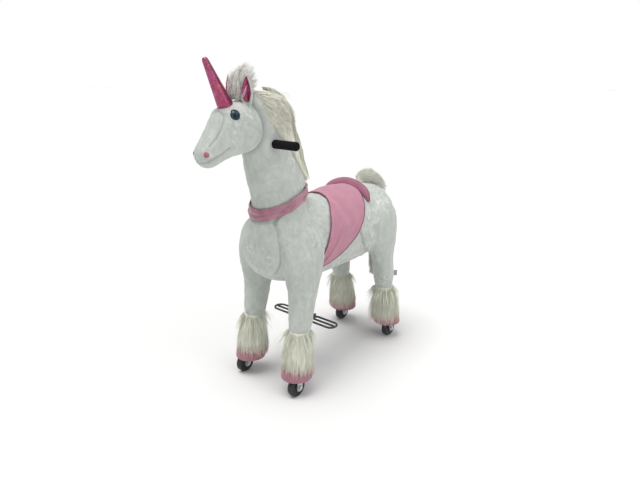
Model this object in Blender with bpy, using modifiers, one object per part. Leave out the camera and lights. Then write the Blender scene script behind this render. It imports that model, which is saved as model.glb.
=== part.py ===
"""A plush unicorn that a child rides: a steel scissor frame on four small wheels inside a stuffed toy.

The front of the animal is -Y, its left side is +X, and up is +Z. The origin is on the floor, midway
between the front and the rear axles. Lengths are in metres. The rider's weight on the foot loops draws
the two pairs of legs together, and weight on the saddle lets them spread again.
"""

import math

import bmesh
import bpy
from mathutils import Matrix, Vector

# Wheels and where they stand
wheelbase = 0.536
front_track = 0.236
rear_track = 0.226
wheel_radius = 0.032
wheel_width = 0.022
wheel_bore_radius = 0.0045
wheel_hub_radius = 0.012
wheel_hub_recess = 0.003
tread_edge_radius = 0.006
bolt_radius = 0.0042
bolt_head_radius = 0.0075
bolt_head_height = 0.004

# Forks that hold the wheels
fork_plate = 0.0035
fork_side_gap = 0.0015
fork_half_depth = 0.012
fork_top_gap = 0.004
fork_crown_height = 0.012
steer_shaft_radius = 0.0055
fork_stem_length = 0.030

# Leg frames, each two tubes on a cross tube that turns in a sleeve of the main frame
pivot_height = 0.45
pivot_spread = 0.40
leg_tube_radius = 0.0125
leg_tube_wall = 0.002
cross_tube_radius = 0.014
swing_degrees = 10.0
lever_reach = 0.063
lever_back_share = 0.4
lever_thickness = 0.005
lever_half_width = 0.011
lever_pin_radius = 0.005
sleeve_half_length = 0.030
sleeve_wall = 0.0025
bush_wall = 0.0017

# Steering: the neck turns the two front forks through cranks and a tie rod
steer_degrees = 20.0
steer_axis_tilt_degrees = 7.5
neck_plane_back = -0.2075
column_radius = 0.012
head_tube_wall = 0.006
head_tube_drop = 0.034
crank_length = 0.032
crank_thickness = 0.008
crank_rise = 0.018
crank_pin_radius = 0.004
tie_rod_half_width = 0.006
tie_rod_lift_gap = 0.0075
steering_lash = 0.0016
tie_rod_thickness = 0.008
drop_arm_thickness = 0.006
drop_arm_half_width = 0.0105
drop_arm_overhang = 0.006

# Main frame
beam_half_width = 0.030
beam_height = 0.028
beam_rise = 0.062
beam_overhang = 0.025
side_plate_thickness = 0.005
side_plate_half_depth = 0.018

# Foot loops on a post that slides in the main frame
post_y = -0.091
post_radius = 0.008
foot_height = 0.176
foot_travel = 0.014
foot_bar_half_length = 0.030
foot_plate_thickness = 0.005
guide_wall = 0.004
guide_length = 0.060
slot_plate_thickness = 0.004
slot_plate_drop = 0.078
slot_plate_height = 0.046
slot_margin = 0.009
foot_wire_radius = 0.0038
foot_loop_length = 0.104
foot_loop_half_depth = 0.021

# Handlebar and its foam grips
handle_rise = 0.163
handle_forward = 0.0715
handle_radius = 0.0095
grip_radius = 0.0125
grip_inner_end = 0.060
grip_outer_end = 0.147
grip_end_wall = 0.004
grip_edge_radius = 0.004

# Stuffed forms
trunk_front = -0.318
trunk_rear = 0.345
trunk_drop = 0.005
trunk_half_width = 0.130
trunk_half_height = 0.150
neck_half_width = 0.070
neck_half_depth = 0.102
neck_plane_gap = 0.029
neck_reach = 0.306
neck_root_depth = 0.124
head_length = 0.222
head_half_width = 0.054
head_half_height = 0.070
head_back_forward = 0.0905
head_back_drop = 0.068
head_droop_degrees = 27.0
leg_top_x = 0.096
leg_foot_x = 0.106
front_foot_set_back = 0.013
rear_foot_set_back = 0.005
leg_half_width = 0.049
shoulder_radius = 0.083
haunch_radius = 0.104
shank_radius = 0.037
cuff_length = 0.112
cuff_flare_radius = 0.053
hoof_bottom_height = 0.057
hoof_height = 0.045
hoof_radius = 0.0505
hoof_hollow_radius = 0.029
hoof_roof_gap = 0.002

# Face, mane and tail
horn_length = 0.130
horn_base_radius = 0.0215
horn_tip_radius = 0.0085
horn_forward = 0.103
horn_rise = 0.037
horn_lean_degrees = 27.0
ear_length = 0.078
ear_half_width = 0.018
ear_half_thickness = 0.008
ear_x = 0.036
ear_forward = 0.056
ear_rise = 0.033
eye_radius = 0.018
eye_x = 0.028
eye_forward = 0.099
eye_rise = 0.006
nostril_radius = 0.0085
nostril_x = 0.0216
nostril_forward = 0.1877
nostril_drop = 0.0853
mane_half_width = 0.030
mane_half_depth = 0.024
forelock_height = 0.095
forelock_half_width = 0.030
forelock_lean = 0.020
mane_front_gap = 0.008
mane_back_reach = 0.1175
mane_bottom_rise = 0.024
mane_top_drop = 0.008
mane_side_shift = 0.014
tail_radius = 0.030
tail_length = 0.38
tail_root_inset = 0.145
tail_root_drop = 0.011
tail_reach = 0.150

# Saddle cloth, its raised rear lip, and the collar
cloth_thickness = 0.004
collar_thickness = 0.006
collar_width = 0.037
cantle_span = 0.098
cantle_height = 0.028
cantle_half_thickness = 0.009
cantle_reach_degrees = 76.0
cantle_y = 0.115
cantle_drop = 0.079
tab_length = 0.020
tab_width = 0.010
tab_thickness = 0.0016
tab_rise = 0.048
tab_turn_degrees = 45.0

# Clearances
seat_gap = 0.0003
running_gap = 0.0005
recess_gap = 0.006
slot_gap = 0.0005
chamber_floor_gap = 0.020
cut_overrun = 0.02

# Smallest lengths that still count as two points
merge_distance = 0.00001

# How finely round shapes are cut
ring_points = 6
form_points = 8
tube_steps = 16
bolt_steps = 10
wire_rings = 2
sharp_degrees = 35

front_sign, rear_sign = -1, 1
cantle_rake_share = 0.35
head_corner_share = 0.10

# Places that follow from the sizes above
trunk_middle_height = pivot_height - trunk_drop
beam_bottom = pivot_height + beam_rise
slot_plate_bottom = pivot_height - slot_plate_drop
chamber_floor = slot_plate_bottom - chamber_floor_gap
trunk_top = trunk_middle_height + trunk_half_height
neck_plane_height = trunk_top + neck_plane_gap
head_tube_top = neck_plane_height - head_tube_drop
handle_height = neck_plane_height + handle_rise
handle_y = neck_plane_back - handle_forward
neck_top_height = neck_plane_height + neck_reach
neck_foot_height = neck_plane_height - neck_root_depth
head_back = neck_plane_back - head_back_forward
head_back_height = neck_top_height - head_back_drop
horn_base_y = head_back - horn_forward
horn_base_height = head_back_height + horn_rise
ear_y = head_back - ear_forward
ear_base_height = head_back_height + ear_rise
eye_y = head_back - eye_forward
eye_height = head_back_height + eye_rise
nostril_y = head_back - nostril_forward
nostril_height = head_back_height - nostril_drop
mane_front_y = head_back + mane_front_gap
mane_back_y = neck_plane_back + mane_back_reach
mane_bottom = neck_plane_height + mane_bottom_rise
mane_top = neck_top_height - mane_top_drop
tail_root_y = trunk_rear - tail_root_inset
tail_root_height = trunk_top - tail_root_drop
cantle_middle_height = trunk_top - cantle_drop
cuff_bottom_height = hoof_bottom_height + hoof_height
cuff_top_height = cuff_bottom_height + cuff_length
tab_height = cuff_top_height + tab_rise
axle_height = wheel_radius
leg_drop = pivot_height - axle_height
leg_reach = wheelbase / 2 - pivot_spread / 2
leg_length = math.hypot(leg_drop, leg_reach)
leg_lean = math.atan2(leg_reach, leg_drop)
swing = math.radians(swing_degrees)
steer_tilt = math.radians(steer_axis_tilt_degrees)


def wheel_x(sign):
    return (front_track if sign < 0 else rear_track) / 2


def remove_everything():
    for thing in list(bpy.data.objects):
        bpy.data.objects.remove(thing, do_unlink=True)


remove_everything()
parts = bpy.data.collections.new("plush_ride_on_unicorn")
cutters = bpy.data.collections.new("cutters")
bpy.context.scene.collection.children.link(parts)
bpy.context.scene.collection.children.link(cutters)
cutters.hide_render = True

finishes = {
    "plush": ((0.76, 0.79, 0.76), 0.95, 0.0),
    "long_pile": ((0.70, 0.71, 0.62), 0.95, 0.0),
    "pink_cloth": ((0.68, 0.34, 0.45), 0.85, 0.0),
    "pink_satin": ((0.74, 0.36, 0.47), 0.45, 0.0),
    "pink_foil": ((0.72, 0.12, 0.36), 0.20, 0.6),
    "painted_steel": ((0.06, 0.06, 0.065), 0.45, 0.3),
    "zinc": ((0.62, 0.63, 0.64), 0.35, 1.0),
    "foam": ((0.02, 0.02, 0.02), 0.90, 0.0),
    "tyre": ((0.025, 0.025, 0.025), 0.60, 0.0),
    "nylon": ((0.80, 0.80, 0.76), 0.55, 0.0),
    "eye": ((0.02, 0.05, 0.09), 0.05, 0.0),
    "label": ((0.55, 0.55, 0.55), 0.80, 0.0),
}


def finish(name):
    """The material of that name, made the first time it is asked for."""
    found = bpy.data.materials.get(name)
    if found:
        return found
    made = bpy.data.materials.new(name)
    made.use_nodes = True
    colour, roughness, metallic = finishes[name]
    shader = made.node_tree.nodes["Principled BSDF"]
    shader.inputs["Base Color"].default_value = (*colour, 1.0)
    shader.inputs["Roughness"].default_value = roughness
    shader.inputs["Metallic"].default_value = metallic
    made.diffuse_color = (*colour, 1.0)
    return made


def put(name, mesh, look=None, place=None):
    """A new object with this mesh: a part with a finish, or a hidden cutter without one."""
    made = bpy.data.objects.new(name, mesh)
    made.matrix_world = place or Matrix.Identity(4)
    if look:
        parts.objects.link(made)
        mesh.materials.append(finish(look))
        mesh.shade_smooth()
        mesh.set_sharp_from_angle(angle=math.radians(sharp_degrees))
    else:
        cutters.objects.link(made)
        made.hide_render = True
        made.display_type = "WIRE"
    return made


def mesh_from(bm, name):
    bmesh.ops.recalc_face_normals(bm, faces=bm.faces)
    mesh = bpy.data.meshes.new(name)
    bm.to_mesh(mesh)
    bm.free()
    return mesh


def block(name, low, high, look=None, place=None, bevel=0.0):
    """A box between two corners, given in the axes of place."""
    bm = bmesh.new()
    bmesh.ops.create_cube(bm, size=1.0)
    middle = (Vector(low) + Vector(high)) / 2
    for point in bm.verts:
        point.co = middle + point.co * (Vector(high) - Vector(low))
    made = put(name, mesh_from(bm, name), look, place)
    if bevel:
        rounding = made.modifiers.new("rounding", "BEVEL")
        rounding.width = bevel
        rounding.segments = 2
    return made


def rod(name, start, end, radius, look=None, steps=tube_steps):
    """A solid round bar between two points."""
    start, end = Vector(start), Vector(end)
    run = end - start
    bm = bmesh.new()
    bmesh.ops.create_cone(
        bm, cap_ends=True, segments=steps, radius1=radius, radius2=radius, depth=run.length
    )
    turn = run.to_track_quat("Z", "Y").to_matrix().to_4x4()
    return put(name, mesh_from(bm, name), look, Matrix.Translation((start + end) / 2) @ turn)


def turned(name, profile, look=None, place=None, steps=tube_steps, closed=False):
    """A profile of (radius, height) points, listed down its outer side, turned about the local Z."""
    bm = bmesh.new()
    points = [bm.verts.new((radius, 0, height)) for radius, height in profile]
    for first, second in zip(points, points[1:] + points[:1] if closed else points[1:]):
        bm.edges.new((first, second))
    mesh = bpy.data.meshes.new(name)
    bm.to_mesh(mesh)
    bm.free()
    made = put(name, mesh, look, place)
    screw = made.modifiers.new("turn", "SCREW")
    screw.steps = screw.render_steps = steps
    screw.use_merge_vertices = True
    screw.merge_threshold = merge_distance
    return made


def tube(name, radius, bore, low, high, look=None, place=None, steps=tube_steps):
    profile = [(radius, high), (radius, low), (bore, low), (bore, high)]
    return turned(name, profile, look, place, steps, closed=True)


def combine(target, other, operation):
    made = target.modifiers.new(f"{operation.lower()} {other.name}", "BOOLEAN")
    made.object = other
    made.operation = operation
    made.solver = "EXACT"


def cut(target, *others):
    for other in others:
        combine(target, other, "DIFFERENCE")


def join(target, *others):
    for other in others:
        combine(target, other, "UNION")


def as_mesh(curve_object, look=None):
    """The closed mesh of a curve object, which it replaces."""
    graph = bpy.context.evaluated_depsgraph_get()
    mesh = bpy.data.meshes.new_from_object(curve_object.evaluated_get(graph))
    name, place = curve_object.name, curve_object.matrix_world.copy()
    bpy.data.objects.remove(curve_object)
    bm = bmesh.new()
    bm.from_mesh(mesh)
    bmesh.ops.remove_doubles(bm, verts=bm.verts, dist=merge_distance)
    mesh.materials.clear()
    bmesh.ops.recalc_face_normals(bm, faces=bm.faces)
    bm.to_mesh(mesh)
    bm.free()
    mesh.name = name
    return put(name, mesh, look, place)


def flat_plate(name, outlines, thickness, look=None, place=None):
    """A flat plate in the local XY plane: the first outline is its edge, and the others are holes."""
    data = bpy.data.curves.new(name, "CURVE")
    data.dimensions = "2D"
    data.fill_mode = "BOTH"
    data.extrude = thickness / 2
    for outline in outlines:
        spline = data.splines.new("POLY")
        spline.points.add(len(outline) - 1)
        for point, (x, y) in zip(spline.points, outline):
            point.co = (x, y, 0, 1)
        spline.use_cyclic_u = True
    made = bpy.data.objects.new(name, data)
    bpy.context.scene.collection.objects.link(made)
    made.matrix_world = place or Matrix.Identity(4)
    bpy.context.view_layer.update()
    return as_mesh(made, look)


def arc(centre, radius, start, end, count):
    """Points of a circular arc in a plane, with the angles in degrees."""
    found = []
    for i in range(count + 1):
        angle = math.radians(start + (end - start) * i / count)
        found.append((centre[0] + radius * math.cos(angle), centre[1] + radius * math.sin(angle)))
    return found


def circle(centre, radius, count=12):
    return arc(centre, radius, 0, 360, count)[:-1]


def stadium(start, end, radius, count=6):
    """The outline of a bar with round ends between two points of a plane."""
    lean = math.degrees(math.atan2(end[1] - start[1], end[0] - start[0]))
    far_end = arc(end, radius, lean - 90, lean + 90, count)
    near_end = arc(start, radius, lean + 90, lean + 270, count)
    return far_end + near_end


def ring(
    centre, across, rise, half_across, reach_up, reach_down, count=ring_points, corner_share=0.0
):
    """Cage points round a section: the smoothed surface passes at the stated half sizes.

    corner_share pushes the points between across and rise outwards, for a boxier section.
    """
    cage = 6 / (4 + 2 * math.cos(2 * math.pi / count))
    found = []
    for i in range(count):
        angle = 2 * math.pi * i / count
        reach = reach_up if math.sin(angle) > 0 else reach_down
        offset = across * half_across * math.cos(angle) + rise * reach * math.sin(angle)
        swell = 1 + corner_share * abs(math.sin(2 * angle))
        found.append(Vector(centre) + offset * cage * swell)
    return found


def lofted(name, rings, look=None, flat=(), growth=0.0):
    """A soft closed form through rings of points. flat lists the end rings that stay flat.

    growth moves the whole smoothed surface outwards, which makes room for a neighbour.
    """
    bm = bmesh.new()
    layers = [[bm.verts.new(point) for point in points] for points in rings]
    for lower, upper in zip(layers, layers[1:]):
        for i in range(len(lower)):
            j = (i + 1) % len(lower)
            bm.faces.new((lower[i], lower[j], upper[j], upper[i]))
    bm.faces.new(layers[0])
    bm.faces.new(layers[-1])
    crease = bm.edges.layers.float.new("crease_edge")
    for end in flat:
        for first, second in zip(layers[end], layers[end][1:] + layers[end][:1]):
            bm.edges.get((first, second))[crease] = 1.0
    cage = bpy.data.objects.new(name, mesh_from(bm, name))
    bpy.context.scene.collection.objects.link(cage)
    smooth = cage.modifiers.new("smooth", "SUBSURF")
    smooth.levels = smooth.render_levels = 1
    bpy.context.view_layer.update()
    graph = bpy.context.evaluated_depsgraph_get()
    mesh = bpy.data.meshes.new_from_object(cage.evaluated_get(graph))
    bpy.data.objects.remove(cage)
    bm = bmesh.new()
    bm.from_mesh(mesh)
    bmesh.ops.triangulate(bm, faces=bm.faces, quad_method="FIXED")
    bm.normal_update()
    outward = [point.normal * growth for point in bm.verts]
    for point, step in zip(bm.verts, outward):
        point.co += step
    bm.to_mesh(mesh)
    bm.free()
    return put(name, mesh, look)


across_x = Vector((1, 0, 0))
along_y = Vector((0, 1, 0))
upright = Vector((0, 0, 1))


def leg_place(sign, x=0.0):
    """Axes of a pair of legs: origin at the pivot, local Z up the leg, local Y to the rear."""
    turn = Matrix.Rotation(sign * leg_lean, 4, "X")
    return Matrix.Translation((x, sign * pivot_spread / 2, pivot_height)) @ turn


def leg_middle_x(height):
    """How far out the middle of the stuffing is at this height: the legs straddle a little."""
    drop = max(pivot_height - height, 0)
    return leg_top_x + (leg_foot_x - leg_top_x) * drop / leg_drop


def leg_middle_y(sign, height):
    """How far back the middle of the stuffing is, which lies a little behind the steel tube."""
    drop = max(pivot_height - height, 0)
    set_back = front_foot_set_back if sign < 0 else rear_foot_set_back
    return sign * (pivot_spread / 2 + leg_reach * drop / leg_drop) + set_back * drop / leg_drop


def neck_place():
    """Axes of the neck: origin on the split between neck and trunk, local Z up the steering column."""
    turn = Matrix.Rotation(steer_tilt, 4, "X")
    return Matrix.Translation((0, neck_plane_back, neck_plane_height)) @ turn


def on_side(x):
    return "left" if x > 0 else "right"


# Shares of a section: place along the form, its middle, its half width, and its reach up and down.
trunk_section_shares = (
    (0.00, 0.30, 0.50, 0.38, 0.42),
    (0.05, 0.24, 0.80, 0.66, 0.74),
    (0.15, 0.12, 0.99, 0.84, 0.82),
    (0.32, 0.03, 1.02, 0.97, 0.96),
    (0.54, 0.00, 0.99, 0.98, 1.05),
    (0.74, 0.06, 1.00, 1.00, 0.93),
    (0.87, 0.14, 0.93, 0.86, 0.80),
    (0.95, 0.16, 0.74, 0.64, 0.64),
    (1.00, 0.16, 0.44, 0.34, 0.40),
)


def trunk_form(name, look=None, growth=0.0):
    rings = []
    for along, middle, width, up, down in trunk_section_shares:
        centre = (
            0,
            trunk_front + along * (trunk_rear - trunk_front),
            trunk_middle_height + middle * trunk_half_height,
        )
        rings.append(
            ring(
                centre,
                across_x,
                upright,
                width * trunk_half_width,
                up * trunk_half_height,
                down * trunk_half_height,
                form_points,
            )
        )
    return lofted(name, rings, look, growth=growth)


# Shares: height up the neck, then middle behind the steering line, width and depth.
neck_section_shares = (
    (0.00, -0.10, 1.20, 1.00),
    (0.14, -0.02, 1.12, 0.98),
    (0.27, 0.02, 0.94, 0.88),
    (0.38, 0.03, 1.02, 1.02),
    (0.52, -0.08, 0.97, 0.95),
    (0.66, -0.16, 0.97, 0.86),
    (0.80, -0.24, 0.94, 0.80),
    (0.92, -0.29, 0.86, 0.71),
    (1.00, -0.32, 0.60, 0.44),
)


def neck_form(name, look=None, growth=0.0):
    rings = []
    for along, middle, width, depth in neck_section_shares:
        height = neck_foot_height + along * (neck_top_height - neck_foot_height)
        behind = (neck_plane_height - height) * math.tan(steer_tilt)
        centre = (0, neck_plane_back + behind + middle * neck_half_depth, height)
        half_depth = depth * neck_half_depth
        half_width = width * neck_half_width
        rings.append(
            ring(centre, across_x, along_y, half_width, half_depth, half_depth, form_points)
        )
    return lofted(name, rings, look, growth=growth)


# Shares: place along the head, middle above its line, width, and reach up and down.
head_section_shares = (
    (0.00, 0.00, 0.55, 0.50, 0.60),
    (0.12, 0.02, 0.92, 0.90, 1.00),
    (0.30, 0.06, 1.00, 1.03, 1.05),
    (0.48, 0.06, 0.92, 1.02, 0.90),
    (0.63, 0.00, 0.78, 0.81, 0.69),
    (0.78, -0.06, 0.70, 0.63, 0.58),
    (0.92, -0.10, 0.62, 0.52, 0.50),
    (1.00, -0.12, 0.40, 0.30, 0.34),
)


def head_form(name, look=None, growth=0.0):
    droop = math.radians(head_droop_degrees)
    forward = Vector((0, -math.cos(droop), -math.sin(droop)))
    rise = Vector((0, -math.sin(droop), math.cos(droop)))
    rings = []
    for along, middle, width, up, down in head_section_shares:
        centre = Vector((0, head_back, head_back_height))
        centre += forward * along * head_length + rise * middle * head_half_height
        rings.append(
            ring(
                centre,
                across_x,
                rise,
                width * head_half_width,
                up * head_half_height,
                down * head_half_height,
                form_points,
                head_corner_share,
            )
        )
    return lofted(name, rings, look, growth=growth)


# Shares below the joint: height as a share of the way down to the cuff, then half depth as a share of
# the joint's radius at the top and of the shank's radius at the cuff, and half width.
leg_down_shares = (
    (0.00, 1.00, 1.00),
    (0.24, 0.84, 0.98),
    (0.48, 0.50, 0.90),
    (0.72, 0.18, 0.80),
    (1.00, 0.00, 0.77),
)
# Shares above the joint: the angle up from level as a share of a right angle, and half width.
leg_up_shares = ((0.83, 0.62), (0.44, 0.93))


def leg_half_depth(sign, height):
    """Half of a leg's depth at a height below its joint, before the surface is smoothed."""
    joint_radius = shoulder_radius if sign < 0 else haunch_radius
    down = (pivot_height - height) / (pivot_height - cuff_top_height)
    for upper, lower in zip(leg_down_shares, leg_down_shares[1:]):
        if upper[0] <= down <= lower[0]:
            step = (down - upper[0]) / (lower[0] - upper[0])
            share = upper[1] + step * (lower[1] - upper[1])
            return shank_radius + share * (joint_radius - shank_radius)
    return shank_radius


def leg_form(name, sign, side, look=None, growth=0.0, swing_room=0.0, run_on=0.0):
    """A stuffed leg: round about the joint at the top, tapering to the cuff at its foot."""
    joint_radius = shoulder_radius if sign < 0 else haunch_radius
    rings = []
    drop = pivot_height - cuff_top_height
    for down, share, width in reversed(leg_down_shares):
        height = pivot_height - down * drop - (run_on if down == 1 else 0)
        half_depth = shank_radius + share * (joint_radius - shank_radius)
        room = swing_room * down * drop
        back, front = (room, 0) if sign < 0 else (0, room)
        centre = (side * leg_middle_x(height), leg_middle_y(sign, height), height)
        rings.append(
            ring(
                centre,
                across_x,
                along_y,
                width * leg_half_width,
                half_depth + back,
                half_depth + front,
            )
        )
    for turn, width in reversed(leg_up_shares):
        tall, deep = math.sin(turn * math.pi / 2), math.cos(turn * math.pi / 2)
        height = pivot_height + tall * joint_radius
        centre = (side * leg_middle_x(height), leg_middle_y(sign, height), height)
        half_depth = deep * joint_radius
        half_width = width * leg_half_width
        rings.append(ring(centre, across_x, along_y, half_width, half_depth, half_depth))
    return lofted(name, rings, look, flat=(0,), growth=growth)


def cross_line(name, radius, sign, half_length):
    """A solid bar along a pair of legs' joint axis, for a cut."""
    y = sign * pivot_spread / 2
    start, end = (-half_length, y, pivot_height), (half_length, y, pivot_height)
    return rod(name, start, end, radius)


def leg_line(name, radius, sign, x, low, high):
    """A solid bar down the middle of a leg, for a cut, between two places along the leg."""
    place = leg_place(sign, x)
    return rod(name, place @ Vector((0, 0, low)), place @ Vector((0, 0, high)), radius)


# A flat plate lies in the local XY plane. This turn stands it up, with its outline in world Y and Z.
plate_turn = Matrix(((0, 0, 1, 0), (1, 0, 0, 0), (0, 1, 0, 0), (0, 0, 0, 1)))

fork_half_width = wheel_width / 2 + fork_side_gap + fork_plate
fork_crown_bottom = -leg_length + wheel_radius + fork_top_gap
fork_crown_top = fork_crown_bottom + fork_crown_height
leg_tube_bottom = fork_crown_top + seat_gap
leg_tube_top = cross_tube_radius + leg_tube_wall


def leg_frames(sign, pair):
    """A cross tube with its levers and pin, and the two leg tubes on its ends."""
    y = sign * pivot_spread / 2
    half_length = wheel_x(sign) - leg_tube_radius - seat_gap
    cross = rod(
        f"{pair}_cross_tube",
        (-half_length, y, pivot_height),
        (half_length, y, pivot_height),
        cross_tube_radius,
        "painted_steel",
    )
    pin = lever_pin_place(sign)
    lever_x = sleeve_half_length + running_gap + lever_thickness / 2
    for side in (-1, 1):
        place = Matrix.Translation((side * lever_x, 0, 0)) @ plate_turn
        outline = stadium((y, pivot_height), (pin[0], pin[1]), lever_half_width)
        arm = flat_plate(f"{pair}_lever_{on_side(side)}", [outline], lever_thickness, place=place)
        join(cross, arm)
    reach = lever_x + lever_thickness / 2
    join(cross, rod(f"{pair}_lever_pin", (-reach, *pin), (reach, *pin), lever_pin_radius))
    for side in (-1, 1):
        tube(
            f"{pair}_leg_tube_{on_side(side)}",
            leg_tube_radius,
            leg_tube_radius - leg_tube_wall,
            leg_tube_bottom,
            leg_tube_top,
            "painted_steel",
            leg_place(sign, side * wheel_x(sign)),
        )


def lever_pin_place(sign, angle=0.0):
    """(y, z) of a lever's pin when the legs have closed by this angle."""
    back = lever_reach * lever_back_share
    down = math.sqrt(lever_reach**2 - back**2)
    inward = back * math.cos(angle) + down * math.sin(angle)
    fall = down * math.cos(angle) - back * math.sin(angle)
    return (sign * (pivot_spread / 2 - inward), pivot_height - fall)


def slot_outline(sign, radius):
    """The slot that a lever's pin follows in the plate, which sinks in step with the legs."""
    steps = 6
    path = []
    for i in range(steps + 1):
        angle = swing * i / steps
        y, z = lever_pin_place(sign, angle)
        path.append(Vector((y, z + foot_travel * i / steps)))
    sides = ([], [])
    for i, point in enumerate(path):
        heading = path[min(i + 1, steps)] - path[max(i - 1, 0)]
        normal = Vector((-heading.y, heading.x)).normalized() * radius
        sides[0].append(point + normal)
        sides[1].append(point - normal)
    lean = math.degrees(math.atan2(path[1].y - path[0].y, path[1].x - path[0].x))
    rear = math.degrees(math.atan2(path[-1].y - path[-2].y, path[-1].x - path[-2].x))
    start_cap = arc(path[0], radius, lean + 90, lean + 270, 6)[1:-1]
    end_cap = arc(path[-1], radius, rear - 90, rear + 90, 6)[1:-1]
    forward = [tuple(p) for p in sides[1]]
    backward = [tuple(p) for p in reversed(sides[0])]
    return forward + end_cap + backward + start_cap


def foot_post():
    """The sliding post: a slotted plate that the levers' pins ride in, and a cross bar for the feet."""
    half_length = pivot_spread / 2 - lever_reach * lever_back_share + lever_pin_radius + slot_margin
    low, high = slot_plate_bottom, slot_plate_bottom + slot_plate_height
    outline = [(-half_length, low), (half_length, low), (half_length, high), (-half_length, high)]
    slots = [slot_outline(sign, lever_pin_radius + slot_gap) for sign in (front_sign, rear_sign)]
    plate = flat_plate(
        "foot_post", [outline, *slots], slot_plate_thickness, "painted_steel", plate_turn
    )
    top = beam_bottom - running_gap
    join(plate, rod("foot_post_rod", (0, post_y, foot_height), (0, post_y, top), post_radius))
    bar = foot_bar_half_length
    join(
        plate,
        rod("foot_bar", (-bar, post_y, foot_height), (bar, post_y, foot_height), post_radius),
    )
    deep = foot_loop_half_depth + foot_wire_radius
    for side in (-1, 1):
        low_x, high_x = sorted((side * (bar - foot_plate_thickness), side * bar))
        end_plate = block(
            f"foot_end_plate_{on_side(side)}",
            (low_x, post_y - deep, foot_height - post_radius),
            (high_x, post_y + deep, foot_height + post_radius),
        )
        join(plate, end_plate)


def foot_loop(side):
    """A wire bent like a paper clip: out, round, back in, round, and out again."""
    start = foot_bar_half_length + seat_gap
    outer = start + foot_loop_length - foot_loop_half_depth
    inner = start + foot_wire_radius + seat_gap
    depth = foot_loop_half_depth
    path = [(start, -depth)]
    path += [(x, y) for x, y in arc((outer, 0), depth, -90, 90, 10)]
    path += [(x, y) for x, y in arc((inner + depth / 2, depth / 2), depth / 2, 90, 270, 8)]
    path.append((outer + depth - foot_wire_radius * 2 - seat_gap, 0))
    data = bpy.data.curves.new(f"foot_loop_{on_side(side)}", "CURVE")
    data.dimensions = "3D"
    data.bevel_depth = foot_wire_radius
    data.bevel_resolution = wire_rings
    data.use_fill_caps = True
    spline = data.splines.new("POLY")
    spline.points.add(len(path) - 1)
    for point, (x, y) in zip(spline.points, path):
        point.co = (side * x, post_y + y, foot_height, 1)
    made = bpy.data.objects.new(data.name, data)
    made.data.materials.append(finish("painted_steel"))
    parts.objects.link(made)
    return made


def main_frame():
    """The seat beam with its head tube, the sleeves for both cross tubes and the post's guide."""
    end = pivot_spread / 2 + beam_overhang
    frame = block(
        "main_frame",
        (-beam_half_width, -end, beam_bottom),
        (beam_half_width, end, beam_bottom + beam_height),
        "painted_steel",
    )
    place = neck_place()
    head_low = (beam_bottom - neck_plane_height) / math.cos(steer_tilt)
    head_high = (head_tube_top - neck_plane_height) / math.cos(steer_tilt)
    bore = column_radius + running_gap
    reach = cut_overrun
    join(
        frame,
        rod(
            "head_tube",
            place @ Vector((0, 0, head_low)),
            place @ Vector((0, 0, head_high)),
            bore + head_tube_wall,
        ),
    )
    sleeve_bore = cross_tube_radius + bush_wall + 2 * seat_gap
    for sign in (front_sign, rear_sign):
        y = sign * pivot_spread / 2
        for side in (-1, 1):
            inner = sleeve_half_length - side_plate_thickness
            low_x, high_x = sorted((side * inner, side * sleeve_half_length))
            deep = side_plate_half_depth
            join(
                frame,
                block(
                    f"side_plate_{sign}_{side}",
                    (low_x, y - deep, pivot_height),
                    (high_x, y + deep, beam_bottom + beam_height / 2),
                ),
            )
        join(
            frame,
            cross_line(f"sleeve_{sign}", sleeve_bore + sleeve_wall, sign, sleeve_half_length),
        )
    guide_radius = post_radius + running_gap + guide_wall
    join(
        frame,
        rod(
            "post_guide",
            (0, post_y, beam_bottom - guide_length),
            (0, post_y, beam_bottom + beam_height / 2),
            guide_radius,
        ),
    )
    cut(
        frame,
        rod(
            "column_bore",
            place @ Vector((0, 0, head_low - reach)),
            place @ Vector((0, 0, head_high + reach)),
            bore,
        ),
        rod(
            "guide_bore",
            (0, post_y, beam_bottom - guide_length - reach),
            (0, post_y, beam_bottom),
            post_radius + running_gap,
        ),
    )
    for sign in (front_sign, rear_sign):
        cut(
            frame,
            cross_line(f"sleeve_bore_{sign}", sleeve_bore, sign, sleeve_half_length + reach),
        )
    return frame


def pivot_bush(sign, pair):
    """The nylon liner between a sleeve and its cross tube."""
    bore = cross_tube_radius + seat_gap
    turn = Matrix.Rotation(math.radians(90), 4, "Y")
    place = Matrix.Translation((0, sign * pivot_spread / 2, pivot_height)) @ turn
    tube(
        f"{pair}_pivot_bush",
        bore + bush_wall,
        bore,
        -sleeve_half_length,
        sleeve_half_length,
        "nylon",
        place,
    )


def wheel(sign, pair, side):
    place = leg_place(sign, side * wheel_x(sign))
    axle = place @ Vector((0, 0, -leg_length))
    turn = Matrix.Rotation(math.radians(90), 4, "Y")
    half = wheel_width / 2
    rim = wheel_radius - tread_edge_radius
    profile = [(wheel_bore_radius, half), (wheel_hub_radius, half)]
    profile += [(rim, half - wheel_hub_recess)]
    profile += arc((rim, half - tread_edge_radius), tread_edge_radius, 60, 0, 2)
    profile += [(r, -z) for r, z in reversed(profile)]
    name = f"{pair}_wheel_{on_side(side)}"
    turned(name, profile, "tyre", Matrix.Translation(axle) @ turn, closed=True)
    reach = fork_half_width
    head = reach + seat_gap + bolt_head_height
    neck = reach + seat_gap
    bolt = [(0, head), (bolt_head_radius, head), (bolt_head_radius, neck), (bolt_radius, neck)]
    bolt += [(r, -z) for r, z in reversed(bolt)]
    bolt_name = f"{pair}_axle_bolt_{on_side(side)}"
    turned(bolt_name, bolt, "zinc", Matrix.Translation(axle) @ turn, bolt_steps)


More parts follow.
